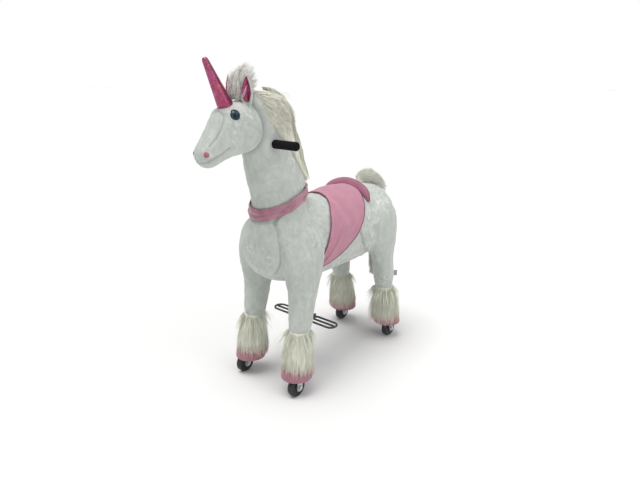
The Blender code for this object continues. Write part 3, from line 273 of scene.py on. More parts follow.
def neck_form(name="neck_form", low_share=0.0, high_share=1.0):
    rings = []
    for along, middle, width, depth in neck_section_shares:
        if not low_share <= along <= high_share:
            continue
        height = neck_foot_height + along * (neck_top_height - neck_foot_height)
        behind = (neck_plane_height - height) * math.tan(neck_tilt)
        centre = (0, neck_plane_back + behind + middle * neck_half_depth, height)
        rings.append(level_ring(centre, width * neck_half_width, depth * neck_half_depth))
    return loft(name, rings)


def head_form():
    forward = Vector((0, -math.cos(head_droop), -math.sin(head_droop)))
    rise = Vector((0, -math.sin(head_droop), math.cos(head_droop)))
    origin = Vector((0, head_back, head_back_height))
    rings = []
    for along, middle, width, up, down in head_section_shares:
        centre = origin + forward * along * head_length + rise * middle * head_half_height
        sizes = width * head_half_width, up * head_half_height, down * head_half_height
        rings.append(ring(centre, across_x, rise, *sizes, corner_share=head_corner_share))
    return loft("head_form", rings)


def leg_middle(sign, side, height):
    """The middle of a leg's stuffing at this height."""
    share = max(pivot_height - height, 0) / leg_drop
    x = side * (leg_top_x + (leg_foot_x - leg_top_x) * share)
    y = sign * (pivot_spread / 2 + leg_reach * share) + foot_set_back[sign] * share
    return Vector((x, y, height))


def leg_form(sign, side):
    """A leg's stuffing, from above its pivot down into its cuff."""
    radius = joint_radius[sign]
    drop = pivot_height - cuff_top
    rings = []
    for down, share, width in reversed(leg_down_shares[sign]):
        height = pivot_height - down * drop - (leg_run_on if down == 1 else 0)
        centre = leg_middle(sign, side, height)
        centre.y += leg_bow[sign] * math.sin(math.pi * down)
        half_depth = shank_radius + share * (radius - shank_radius)
        rings.append(level_ring(centre, width * leg_half_width, half_depth))
    for turn, width in reversed(leg_up_shares):
        height = pivot_height + math.sin(turn * math.pi / 2) * radius
        deep = math.cos(turn * math.pi / 2) * radius
        rings.append(level_ring(leg_middle(sign, side, height), width * leg_half_width, deep))
    return loft("leg_form", rings)


def skinned(made, voxel, smoothing):
    """One even skin round closed forms, softened by that many passes."""
    skin = made.modifiers.new("skin", "REMESH")
    skin.mode = "VOXEL"
    skin.voxel_size = voxel
    soften = made.modifiers.new("soften", "SMOOTH")
    soften.iterations = smoothing
    return settled(made)


def fused(name, things, voxel, smoothing):
    """One skin round all these forms, with soft fillets where they meet."""
    bm = bmesh.new()
    for thing in things:
        bm.from_mesh(thing.data)
        bpy.data.objects.remove(thing)
    return skinned(built(name, bm, False), voxel, smoothing)


def displaced(thing, move):
    """Moves the points along their normals by move(points), in metres."""
    mesh = thing.data
    points = points_of(mesh)
    set_points(mesh, points + normals_of(mesh) * move(points)[:, None])
    return thing


def refined(thing, levels=1):
    """The object with each face parted that many times, and rounded."""
    smooth = thing.modifiers.new("refine", "SUBSURF")
    smooth.levels = smooth.render_levels = levels
    return settled(thing)


fine_pile_scale, fine_pile_share = 3.7, 0.55
fine_pile_shift = Vector((7, 3, 1))
seam_swell_share, seam_swell_gap, seam_swell_width = 0.35, 2.2, 1.2


def crushed_pile(points, amount, patch=34.0):
    """Relief of a short pile that hands have brushed to and fro."""
    found = []
    for point in points:
        broad = noise.noise(Vector(point * patch))
        fine = noise.noise(Vector(point * patch * fine_pile_scale) + fine_pile_shift)
        found.append(amount * (broad + fine_pile_share * fine))
    return np.array(found)


def away_from_line(points, line):
    """How far points are from a broken line, all seen from the animal's side."""
    flat = points[:, 1:]
    nearest = np.full(len(points), np.inf)
    for first, second in zip(np.array(line), np.array(line)[1:]):
        run = second - first
        share = np.clip((flat - first) @ run / (run @ run), 0, 1)
        gap = np.linalg.norm(flat - first - share[:, None] * run, axis=1)
        nearest = np.minimum(nearest, gap)
    return nearest


def drawn_in(points, lines, depth, width):
    """The furrow that a sewn seam leaves, with a slight swell on both sides of it."""
    found = np.zeros(len(points))
    for line in lines:
        gap = away_from_line(points, line) / width
        beside = np.exp(-(((gap - seam_swell_gap) / seam_swell_width) ** 2))
        found += depth * (seam_swell_share * beside - np.exp(-(gap**2)))
    return found


def marked_seams(thing, lines, width):
    """Notes how near each point is to a sewn line, for the painted shade that the finish lays along
    its furrow.
    """
    points = points_of(thing.data)
    away = np.min([away_from_line(points, line) for line in lines], axis=0)
    noted(thing.data, "painted_shade", np.exp(-((away / width) ** 2)))


def swell(points, middle, reach, height):
    """A soft rise about a place, the same on both sides of the animal."""
    offset = np.abs(points * (1, 0, 0)) + points * (0, 1, 1) - np.array(middle)
    return height * np.exp(-((offset / np.array(reach)) ** 2).sum(axis=1))


def swept(name, path, radius, closed=False, sides=8):
    """A round cord along a path."""
    points = [Vector(p) for p in path]
    count = len(points)
    bm = bmesh.new()
    layers = []
    out = None
    for i, point in enumerate(points):
        ahead = points[(i + 1) % count] if closed else points[min(i + 1, count - 1)]
        behind = points[i - 1] if closed else points[max(i - 1, 0)]
        heading = (ahead - behind).normalized()
        out = heading.orthogonal() if out is None else out - heading * out.dot(heading)
        out.normalize()
        turned_out = heading.cross(out)
        layer = []
        for k in range(sides):
            angle = 2 * math.pi * k / sides
            offset = out * math.cos(angle) + turned_out * math.sin(angle)
            layer.append(bm.verts.new(point + offset * radius))
        layers.append(layer)
    shift = 0
    if closed:
        shift = min(range(sides), key=lambda k: (layers[0][k].co - layers[-1][0].co).length)
        layers.append(layers[0][shift:] + layers[0][:shift])
    for lower, upper in zip(layers, layers[1:]):
        bridge(bm, lower, upper)
    if not closed:
        bm.faces.new(layers[0])
        bm.faces.new(layers[-1])
    return built(name, bm)


def lathed(name, profile, place, steps=48):
    """A closed profile of (radius, along) points, turned about the local X."""
    bm = bmesh.new()
    layers = []
    for k in range(steps):
        angle = 2 * math.pi * k / steps
        across, up = math.cos(angle), math.sin(angle)
        turned = (Vector((x, radius * across, radius * up)) for radius, x in profile)
        layers.append([bm.verts.new(Vector(place) + point) for point in turned])
    for here, there in zip(layers, layers[1:] + layers[:1]):
        bridge(bm, here, there)
    bmesh.ops.remove_doubles(bm, verts=bm.verts, dist=1e-6)
    made = built(name, bm)
    made.data.set_sharp_from_angle(angle=math.radians(40))
    return made


def quilt(name, rows, wrap=False):
    """A sheet through rows of points."""
    bm = bmesh.new()
    grid = [[bm.verts.new(point) for point in row] for row in rows]
    if wrap:
        grid.append(grid[0])
    for lower, upper in zip(grid, grid[1:]):
        for i in range(len(lower) - 1):
            bm.faces.new((lower[i], lower[i + 1], upper[i + 1], upper[i]))
    return built(name, bm, False)


def thickened(thing, thickness, offset=1.0):
    shell = thing.modifiers.new("thickness", "SOLIDIFY")
    shell.thickness = thickness
    shell.offset = offset
    return settled(thing)


def surface_of(thing):
    """A searchable copy of a form's surface, after which the form is removed."""
    bm = bmesh.new()
    bm.from_mesh(thing.data)
    found = BVHTree.FromBMesh(bm)
    bm.free()
    bpy.data.objects.remove(thing)
    return found


def cut_away(thing, place, normal):
    """Removes what lies beyond a plane and closes the cut."""
    bm = bmesh.new()
    bm.from_mesh(thing.data)
    geometry = bm.verts[:] + bm.edges[:] + bm.faces[:]
    cut = bmesh.ops.bisect_plane(bm, geom=geometry, plane_co=place, plane_no=normal, clear_outer=True)
    rim = [g for g in cut["geom_cut"] if isinstance(g, bmesh.types.BMEdge)]
    bmesh.ops.holes_fill(bm, edges=rim)
    for edge in rim:
        edge.smooth = False
    bm.to_mesh(thing.data)
    bm.free()


def copied(thing, name):
    return put(name, thing.data.copy())


# Hair


def scattered(mesh, count, seed, keep=lambda point, normal: True):
    """Points spread evenly over a mesh, with the surface's normal at each."""
    rng = np.random.default_rng(seed)
    mesh.calc_loop_triangles()
    corners = np.zeros(len(mesh.loop_triangles) * 3, np.int32)
    mesh.loop_triangles.foreach_get("vertices", corners)
    corners = corners.reshape(-1, 3)
    points, normals = points_of(mesh), normals_of(mesh)
    a, b, c = (points[corners[:, i]] for i in range(3))
    area = np.linalg.norm(np.cross(b - a, c - a), axis=1)
    pick = rng.choice(len(area), size=count, p=area / area.sum())
    u, v = rng.random(count), rng.random(count)
    flip = u + v > 1
    u[flip], v[flip] = 1 - u[flip], 1 - v[flip]
    w = 1 - u - v
    place = a[pick] * w[:, None] + b[pick] * u[:, None] + c[pick] * v[:, None]
    na, nb, nc = (normals[corners[pick, i]] for i in range(3))
    normal = na * w[:, None] + nb * u[:, None] + nc * v[:, None]
    normal /= np.linalg.norm(normal, axis=1)[:, None] + 1e-12
    kept = np.array([keep(p, n) for p, n in zip(place, normal)], bool)
    return place[kept], normal[kept]


def unit(rows):
    return rows / (np.linalg.norm(rows, axis=1)[:, None] + 1e-12)


lock_parts = 6
lock_wander, lock_bend, gather_power, floor_fray = 0.6, 0.25, 1.5, 0.012
lock_taper, lock_flatness, lock_thickness = 0.7, 0.7, (0.7, 1.3)


def hair(
    name, body, material, roots, normals, flow, length, width, seed, lift, sag, pull, spread, clump,
    gather, uneven=(0.72, 1.12), floor=None, beside=None,
):
    """Tapered locks that leave the roots along flow, lifted off the surface, and fall.

    Locks whose roots lie within one clump's width draw together towards their tips.
    """
    rng = np.random.default_rng(seed)
    count = len(roots)
    along_flow = unit(np.array([flow(p) for p in roots], float))
    inward = np.minimum(0, (along_flow * normals).sum(axis=1))
    along_flow = unit(along_flow - normals * inward[:, None])
    reach = length * rng.uniform(*uneven, count)
    heading = unit(along_flow + lift * normals + rng.normal(0, spread, (count, 3)) * lock_wander)
    line = np.zeros((lock_parts + 1, count, 3))
    line[0] = roots - normals * width
    bend = rng.normal(0, spread, (count, 3))
    for i in range(1, lock_parts + 1):
        line[i] = line[i - 1] + heading * (reach / lock_parts)[:, None]
        turn = pull * along_flow + sag * np.array([0, 0, -1.0]) + bend * lock_bend
        heading = unit(heading + turn)
    cells = np.floor(roots / clump + rng.uniform(0, 1, 3)).astype(int)
    _, cell = np.unique(cells, axis=0, return_inverse=True)
    cell = cell.ravel()
    size = np.bincount(cell)[:, None]
    for i in range(1, lock_parts + 1):
        middle = np.stack([np.bincount(cell, line[i][:, k]) for k in range(3)], axis=1) / size
        share = gather * (i / lock_parts) ** gather_power
        line[i] += (middle[cell] - line[i]) * share
    if floor is not None:
        line[:, :, 2] = np.maximum(line[:, :, 2], floor + rng.uniform(0, floor_fray, count)[None])
    if beside is not None:
        line[:, :, 0] = np.clip(line[:, :, 0], -beside, beside)
    side = unit(np.cross(heading, normals))
    out = unit(np.cross(side, heading))
    thick = width * rng.uniform(*lock_thickness, count)
    points = np.zeros((count, 3 * lock_parts + 1, 3))
    for i in range(lock_parts):
        taper = (thick * (1 - (i / lock_parts)) ** lock_taper)[:, None]
        points[:, 3 * i] = line[i] + side * taper
        points[:, 3 * i + 1] = line[i] + out * taper * lock_flatness
        points[:, 3 * i + 2] = line[i] - side * taper
    points[:, -1] = line[lock_parts]
    faces = [(0, 2, 1)]
    for i in range(lock_parts - 1):
        for k in range(3):
            a, b = 3 * i + k, 3 * i + (k + 1) % 3
            faces.append((a, b, b + 3, a + 3))
    last, per = 3 * (lock_parts - 1), 3 * lock_parts + 1
    faces += [(last + k, last + (k + 1) % 3, per - 1) for k in range(3)]
    mesh = bpy.data.meshes.new(name)
    whole = [[start + k for k in face] for start in range(0, count * per, per) for face in faces]
    mesh.from_pydata(points.reshape(-1, 3), [], whole)
    mesh.validate()
    noted(mesh, "shade", np.repeat(rng.random(count), per))
    way = np.concatenate([np.repeat(np.arange(lock_parts) / lock_parts, 3), [1.0]])
    noted(mesh, "tipward", np.tile(way, count))
    mesh.shade_smooth()
    finished(put(name, mesh), material, body)


# Materials


class Look:
    """A Principled material with short calls for the nodes that feed it."""

    def __init__(self, name, roughness=0.5, metallic=0.0, colour=(0.8, 0.8, 0.8)):
        self.material = bpy.data.materials.new(name)
        self.material.use_nodes = True
        self.nodes = self.material.node_tree.nodes
        self.links = self.material.node_tree.links
        self.shader = self.nodes["Principled BSDF"]
        self.set("Base Color", (*colour, 1))
        self.set("Roughness", roughness)
        self.set("Metallic", metallic)
        self.where = self.nodes.new("ShaderNodeTexCoord").outputs["Object"]

    def set(self, socket, value):
        self.shader.inputs[socket].default_value = value

    def node(self, kind, inputs=(), **settings):
        made = self.nodes.new(kind)
        for key, value in settings.items():
            setattr(made, key, value)
        for key, value in dict(inputs).items():
            if isinstance(value, bpy.types.NodeSocket):
                self.links.new(value, made.inputs[key])
            else:
                made.inputs[key].default_value = value
        return made

    def noise(self, scale, detail, roughness, stretch=None):
        place = self.where
        if stretch:
            place = self.node("ShaderNodeMapping", {"Vector": place, "Scale": stretch}).outputs[0]
        inputs = {"Vector": place, "Scale": scale, "Detail": detail, "Roughness": roughness}
        return self.node("ShaderNodeTexNoise", inputs).outputs["Fac"]

    def attribute(self, name):
        return self.node("ShaderNodeAttribute", attribute_name=name).outputs["Fac"]

    def ramp(self, factor, *stops):
        made = self.node("ShaderNodeValToRGB", {"Fac": factor})
        elements = made.color_ramp.elements
        while len(elements) < len(stops):
            elements.new(0.5)
        for element, (place, colour) in zip(elements, stops):
            element.position = place
            element.color = (*colour, 1)
        return made.outputs["Color"]

    def mix(self, factor, first, second, blend="MIX"):
        if isinstance(second, tuple):
            second = (*second, 1)
        inputs = {0: factor, 6: first, 7: second}
        return self.node("ShaderNodeMix", inputs, data_type="RGBA", blend_type=blend).outputs[2]

    def maths(self, operation, first, second):
        return self.node("ShaderNodeMath", {0: first, 1: second}, operation=operation).outputs[0]

    def colour(self, source):
        self.links.new(source, self.shader.inputs["Base Color"])

    def roughen(self, source, low, high):
        made = self.node("ShaderNodeMapRange", {0: source, 3: low, 4: high})
        self.links.new(made.outputs[0], self.shader.inputs["Roughness"])

    def bump(self, height, strength, distance):
        inputs = {"Height": height, "Strength": strength, "Distance": distance}
        made = self.node("ShaderNodeBump", inputs)
        self.links.new(made.outputs[0], self.shader.inputs["Normal"])


def plush_look():
    """White velvet with a faint green-blue cast, brushed into lighter and darker patches; its lighter
    streaks of crushed nap are painted highlights, and darker streaks lie among them.
    """
    made = Look("plush_velvet", 0.9)
    patch = made.noise(52, 5, 0.66, (1, 1, 0.55))
    nap = made.noise(9, 3, 0.6)
    grain = made.noise(420, 2, 0.6)
    pale = made.ramp(patch, (0.38, (0.470, 0.495, 0.466)), (0.62, (0.560, 0.584, 0.552)))
    nap_tone = made.ramp(nap, (0.35, (0.90, 0.91, 0.91)), (0.65, (1.0, 1.0, 1.0)))
    toned = made.mix(1.0, pale, nap_tone, "MULTIPLY")
    threads = made.ramp(grain, (0.3, (0.34, 0.36, 0.34)), (0.7, (0.66, 0.68, 0.64)))
    brushed = made.noise(88, 5, 0.74, (1, 1, 0.7))
    crushed = made.ramp(made.noise(7, 3, 0.6), (0.48, (0.12, 0.12, 0.12)), (0.58, (1, 1, 1)))
    highlight_streaks = made.ramp(brushed, (0.53, (0, 0, 0)), (0.63, (1, 1, 1)))
    dark_streaks = made.ramp(brushed, (0.36, (1, 1, 1)), (0.45, (0, 0, 0)))
    # Painted highlight: lighter streaks of crushed nap are painted into the colour, with darker
    # streaks among them.
    lights = made.maths("MULTIPLY", highlight_streaks, crushed)
    darks = made.maths("MULTIPLY", dark_streaks, crushed)
    base = made.mix(0.12, toned, threads)
    lit = made.mix(made.maths("MULTIPLY", lights, 0.75), base, (0.75, 0.775, 0.74))
    mottled = made.mix(made.maths("MULTIPLY", darks, 0.50), lit, (0.32, 0.36, 0.345))
    # Painted shade: darker along the furrows of the sewn seams and on the neck where it runs in under
    # the jaw.
    painted_shade_amount = made.maths("MULTIPLY", made.attribute("painted_shade"), 0.62)
    made.colour(made.mix(painted_shade_amount, mottled, (0.26, 0.29, 0.28)))
    made.set("Sheen Weight", 0.30)
    made.set("Sheen Roughness", 0.45)
    height = made.maths("ADD", patch, made.maths("MULTIPLY", grain, 0.35))
    height = made.maths("ADD", height, made.maths("MULTIPLY", brushed, crushed))
    made.bump(height, 0.80, 0.0034)
    return made.material


hoof_tint_top, hoof_tint_bottom = 0.112, 0.072


def pile_look(name, root, tip, end=None):
    """Long pile, darker at the roots, in locks of different tone; end tints what is near a hoof."""
    made = Look(name, 0.75)
    shade = made.attribute("shade")
    tipward = made.attribute("tipward")
    base = made.ramp(tipward, (0.0, root), (0.55, tip))
    if end:
        height = made.node("ShaderNodeSeparateXYZ", {"Vector": made.where}).outputs["Z"]
        span = {0: height, 1: hoof_tint_top, 2: hoof_tint_bottom}
        low = made.node("ShaderNodeMapRange", span).outputs[0]
        tips = made.ramp(tipward, (0.45, (0, 0, 0)), (0.85, (1, 1, 1)))
        tinted = made.maths("MULTIPLY", low, tips)
        base = made.mix(tinted, base, end)
    tone = made.ramp(shade, (0.0, (0.86, 0.86, 0.83)), (1.0, (1.0, 1.0, 1.0)))
    made.colour(made.mix(1.0, base, tone, "MULTIPLY"))
    made.set("Sheen Weight", 0.3)
    made.set("Sheen Roughness", 0.4)
    return made.material


def cloth_look(name, light, dark, weave=900.0):
    made = Look(name, 0.8)
    fade = made.noise(30, 4, 0.6)
    thread = made.noise(weave, 1, 0.5)
    base = made.ramp(fade, (0.3, dark), (0.7, light))
    made.colour(made.mix(0.25, base, made.ramp(thread, (0.3, dark), (0.7, light))))
    made.set("Sheen Weight", 0.25)
    made.bump(made.maths("ADD", fade, made.maths("MULTIPLY", thread, 0.4)), 0.35, 0.0012)
    return made.material


def satin_look():
    made = Look("collar_satin", 0.36)
    fade = made.noise(24, 3, 0.6)
    thread = made.noise(700, 1, 0.5, (1, 1, 6))
    made.colour(made.ramp(fade, (0.3, (0.28, 0.110, 0.160)), (0.7, (0.45, 0.215, 0.275))))
    made.set("Sheen Weight", 0.25)
    made.bump(made.maths("ADD", fade, made.maths("MULTIPLY", thread, 0.3)), 0.3, 0.001)
    return made.material


def foil_look():
    """Iridescent pink foil with a crinkle and bright flecks, which are painted glints."""
    made = Look("pink_foil_cloth", 0.20, 0.75)
    crinkle = made.noise(300, 3, 0.7)
    broad = made.noise(34, 2, 0.5)
    warm, deep, cool = (0.38, 0.090, 0.14), (0.30, 0.050, 0.12), (0.38, 0.090, 0.19)
    base = made.ramp(broad, (0.32, warm), (0.48, deep), (0.68, cool))
    # Painted glints: bright flecks where the crinkle peaks, added to the colour.
    painted_glints = made.ramp(crinkle, (0.60, (0.0, 0.0, 0.0)), (0.70, (0.75, 0.55, 0.65)))
    made.colour(made.mix(0.55, base, painted_glints, "ADD"))
    made.bump(crinkle, 0.35, 0.0009)
    return made.material


def steel_look(name, colour, roughness, metallic):
    made = Look(name, roughness, metallic, colour)
    grain = made.noise(350.0, 3, 0.6)
    mottled = made.noise(60, 4, 0.6)
    lighter = tuple(min(1.0, c * 1.35 + 0.01) for c in colour)
    made.colour(made.ramp(mottled, (0.35, colour), (0.75, lighter)))
    made.roughen(grain, roughness - 0.08, roughness + 0.12)
    made.bump(grain, 0.15, 0.0004)
    return made.material


def foam_look():
    made = Look("grip_foam", 0.9)
    pores = made.noise(900, 3, 0.7)
    made.colour(made.ramp(pores, (0.35, (0.004, 0.004, 0.005)), (0.7, (0.013, 0.013, 0.015))))
    made.set("Specular IOR Level", 0.12)
    made.bump(pores, 0.6, 0.0008)
    return made.material


def rubber_look():
    made = Look("tyre_rubber", 0.55)
    dust = made.noise(140, 4, 0.6)
    made.colour(made.ramp(dust, (0.35, (0.010, 0.010, 0.011)), (0.75, (0.035, 0.035, 0.036))))
    made.roughen(dust, 0.42, 0.7)
    made.bump(made.noise(500, 2, 0.5), 0.2, 0.0004)
    return made.material


def eye_look():
    """A dark pupil in a blue-green ring, under a clear dome."""
    made = Look("eye_dome", 0.08)
    radius = made.attribute("ring")
    pupil, edge = (0.0, (0.004, 0.006, 0.010)), (0.40, (0.006, 0.010, 0.018))
    iris, rim = (0.56, (0.022, 0.080, 0.120)), (0.78, (0.006, 0.012, 0.018))
    made.colour(made.ramp(radius, pupil, edge, iris, rim))
    made.set("Specular IOR Level", 0.35)
    return made.material


plush = plush_look()
cream_pile = pile_look("cream_pile", (0.70, 0.70, 0.60), (0.93, 0.92, 0.81))
tail_pile = pile_look("tail_pile", (0.56, 0.57, 0.50), (0.80, 0.80, 0.72))
white_pile = pile_look("white_pile", (0.60, 0.58, 0.55), (0.86, 0.84, 0.80))
cuff_pile = pile_look("cuff_pile", (0.58, 0.60, 0.48), (0.88, 0.89, 0.77), (0.80, 0.47, 0.50))
under_pile = cloth_look("under_pile", (0.72, 0.72, 0.62), (0.60, 0.60, 0.51), 500)
saddle_pink = cloth_look("saddle_pink", (0.49, 0.225, 0.300), (0.41, 0.180, 0.245))
lip_pink = cloth_look("lip_pink", (0.37, 0.145, 0.215), (0.30, 0.110, 0.170))
hoof_pink = cloth_look("hoof_pink", (0.40, 0.19, 0.225), (0.29, 0.125, 0.16), 700)
piping_maroon = cloth_look("piping_maroon", (0.22, 0.055, 0.105), (0.15, 0.035, 0.070), 1200)
nostril_pink = cloth_look("nostril_pink", (0.52, 0.17, 0.24), (0.24, 0.05, 0.09), 420)
satin = satin_look()
foil = foil_look()
dark_steel = steel_look("dark_steel", (0.075, 0.077, 0.080), 0.38, 0.6)
zinc = steel_look("zinc_plate", (0.50, 0.51, 0.52), 0.34, 1.0)
foam = foam_look()
rubber = rubber_look()
nylon = steel_look("white_nylon", (0.62, 0.62, 0.58), 0.5, 0.0)
eye = eye_look()
tab_cloth = cloth_look("tab_cloth", (0.36, 0.36, 0.36), (0.26, 0.26, 0.27), 1500)

slot_looks = {
    "painted_steel": dark_steel,
    "zinc": zinc,
    "foam": foam,
    "tyre": rubber,
    "nylon": nylon,
    "label": tab_cloth,
}


def dress_frame():
    """Better finishes on the frame's own hard pieces."""
    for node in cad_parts.values():
        for place in node.material_slots:
            name = place.material.name.split(".")[0] if place.material else ""
            if name in slot_looks:
                place.material = slot_looks[name]


def finished(thing, material, body=None, replaces=()):
    """Gives a piece its finish, its body and the nodes it stands for."""
    thing.data.materials.clear()
    thing.data.materials.append(material)
    if body:
        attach(thing, body)
    if replaces:
        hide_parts(*replaces)


# Body

split_y = 0.0
neck_stub_share = 0.38
cloth_edge_shares = (
    (1.05, 0.455, 0.700), (0.92, 0.425, 0.675), (0.70, 0.372, 0.640), (0.42, 0.330, 0.590),
    (0.14, 0.292, 0.520), (-0.10, 0.260, 0.425), (-0.30, 0.238, 0.330), (-0.40, 0.232, 0.262),
)
chest_seam = (
    (-0.255, 0.590), (-0.277, 0.560), (-0.289, 0.510), (-0.287, 0.470), (-0.283, 0.430),
    (-0.278, 0.400),
)
tab_root = (0.1292, 0.2614, 0.262)
tab_pull, tab_pull_reach = 0.0035, 0.016
flank_seam = ((0.035, 0.505), (0.048, 0.470), (0.066, 0.430), (0.095, 0.395), (0.128, 0.372))
body_seams = (chest_seam, flank_seam)
body_proud, body_pile, body_pile_patch = 0.0012, 0.0018, 40.0
body_furrow_depth, body_furrow_width, body_seam_shade_width = 0.0050, 0.0048, 0.0026
sunk_front_share, sunk_rear_share, sunk_fade_share = 0.02, 0.012, 0.015
sunk_search, sunk_gap = 0.009, 0.0005


def cloth_edges(up):
    """The saddle cloth's front and rear edges at a height, as shares of the trunk's length."""
    rising = cloth_edge_shares[::-1]
    heights = [row[0] for row in rising]
    return [float(np.interp(up, heights, [row[k] for row in rising])) for k in (1, 2)]


def drawn_to_tab(points):
    """The leg's seam is drawn out to the blank strip that is sewn into it."""
    away = np.linalg.norm(points - np.array(tab_root), axis=1) / tab_pull_reach
    return tab_pull * np.exp(-(away**2))


def under_cloth(points, trunk):
    """How far a point must sink so that the saddle cloth lies over it without touching."""
    found = np.zeros(len(points))
    for i, point in enumerate(points):
        up = (point[2] - trunk_middle_height) / trunk_half_height
        if up < cloth_edge_shares[-1][0]:
            continue
        front, rear = cloth_edges(up)
        along = (point[1] - trunk_front) / (trunk_rear - trunk_front)
        inside = min(along - front - sunk_front_share, rear - sunk_rear_share - along)
        if inside <= 0:
            continue
        place, normal, _, _ = trunk.find_nearest(point)
        above = (Vector(point) - place).dot(normal)
        if above < sunk_search:
            found[i] = min(0, sunk_gap - above) * min(1, inside / sunk_fade_share)
    return found


def body_skins():
    """The trunk and legs as one skin, parted under the saddle into a front and a rear piece."""
    forms = [trunk_form(), neck_form("stub_form", high_share=neck_stub_share)]
    forms += [leg_form(sign, side) for sign in (-1, 1) for side in (-1, 1)]
    skin = refined(fused("skin_front", forms, voxel=0.0048, smoothing=12))
    trunk = surface_of(trunk_form())

    def relief(p):
        furrows = drawn_in(p, body_seams, body_furrow_depth, body_furrow_width)
        return body_proud + crushed_pile(p, body_pile, body_pile_patch) + furrows

    displaced(skin, relief)
    displaced(skin, lambda p: under_cloth(p, trunk))
    displaced(skin, drawn_to_tab)
    marked_seams(skin, body_seams, body_seam_shade_width)
    body_surface = surface_of(copied(skin, "skin_search"))
    rear = copied(skin, "skin_rear")
    cut_away(skin, (0, split_y, 0), (0, 1, 0))
    cut_away(rear, (0, split_y, 0), (0, -1, 0))
    finished(skin, plush, None, ("trunk", "front_leg_left", "front_leg_right"))
    finished(rear, plush, None, ("rear_leg_left", "rear_leg_right"))
    for sign, piece in ((-1, skin), (1, rear)):
        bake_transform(piece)
    return body_surface


jaw_shade_reach, jaw_shade_strength = 0.011, 1.1
neck_proud, neck_pile = 0.0010, 0.0014
neck_furrow_depth, neck_furrow_width = 0.0017, 0.0036
neck_creases = (
    ((-0.296, 0.650), (-0.268, 0.645), (-0.240, 0.652)),
    ((-0.290, 0.676), (-0.262, 0.682), (-0.236, 0.674)),
    ((-0.262, 0.634), (-0.225, 0.642), (-0.188, 0.662)),
    ((-0.300, 0.716), (-0.276, 0.722), (-0.254, 0.714)),
)


def neck_skin():
    upper = neck_form("neck_upper", low_share=0.14)
    skin = refined(fused("neck_skin", [upper], voxel=0.0045, smoothing=4))
    displaced(skin, lambda p: neck_proud + crushed_pile(p, neck_pile))
    displaced(skin, lambda p: drawn_in(p, neck_creases, neck_furrow_depth, neck_furrow_width))
    # Painted shade: the neck is darkened close to the head, where the jaw shades it.
    jaw = surface_of(head_form())
    gaps = np.array([jaw.find_nearest(point)[3] for point in points_of(skin.data)])
    noted(skin.data, "painted_shade", jaw_shade_strength * np.exp(-((gaps / jaw_shade_reach) ** 2)))
    finished(skin, plush, None, ("neck",))
    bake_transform(skin)


brow_seam = ((-0.424, 0.884), (-0.429, 0.866), (-0.443, 0.838), (-0.460, 0.816), (-0.480, 0.797))
mouth_seam = ((-0.490, 0.756), (-0.480, 0.765), (-0.453, 0.776), (-0.428, 0.790))
cheek_creases = (
    ((-0.384, 0.829), (-0.370, 0.818), (-0.354, 0.805)),
    ((-0.426, 0.817), (-0.417, 0.808), (-0.407, 0.799)),
    ((-0.366, 0.846), (-0.350, 0.832), (-0.332, 0.826)),
    ((-0.398, 0.842), (-0.392, 0.826), (-0.381, 0.812)),
)
head_proud, head_pile, head_seam_shade_width = 0.0008, 0.0007, 0.0018
head_furrows = (
    ((brow_seam,), 0.0017, 0.0026, 0.004),
    ((mouth_seam,), 0.0024, 0.0026, -1),
    (cheek_creases, 0.0016, 0.0030, -1),
)
head_swells = (
    ((0.036, -0.418, 0.882), (0.012, 0.014, 0.010), 0.0045),
    ((0.046, -0.345, 0.835), (0.030, 0.028, 0.034), 0.0085),
)


def head_skin():
    skin = refined(fused("head_skin", [head_form()], voxel=0.0035, smoothing=3))
    displaced(skin, lambda p: head_proud + crushed_pile(p, head_pile))
    for lines, depth, width, parted in head_furrows:
        displaced(skin, lambda p: drawn_in(p, lines, depth, width) * (np.abs(p[:, 0]) > parted))
    marked_seams(skin, (brow_seam, mouth_seam), head_seam_shade_width)
    for middle, reach, height in head_swells:
        displaced(skin, lambda p: swell(p, middle, reach, height))
    finished(skin, plush, "steered_head", ("head",))


body_surface = body_skins()
neck_skin()
head_skin()


# Cuffs and hooves

stray_locks = {None: (170, 0.0), (1, 1): (420, -0.45)}
cuff_locks, cuff_hair_reach = 3600, 0.166
cuff_pad_inset, cuff_bare_rim, stray_drop = 0.004, 0.006, 0.035
cuff_level_share, cuff_outward_share = 0.93, 0.10
cuff_section_shares = ((0.0, 0.0), (0.10, 0.14), (0.36, 0.52), (0.72, 1.0), (1.0, 0.84))


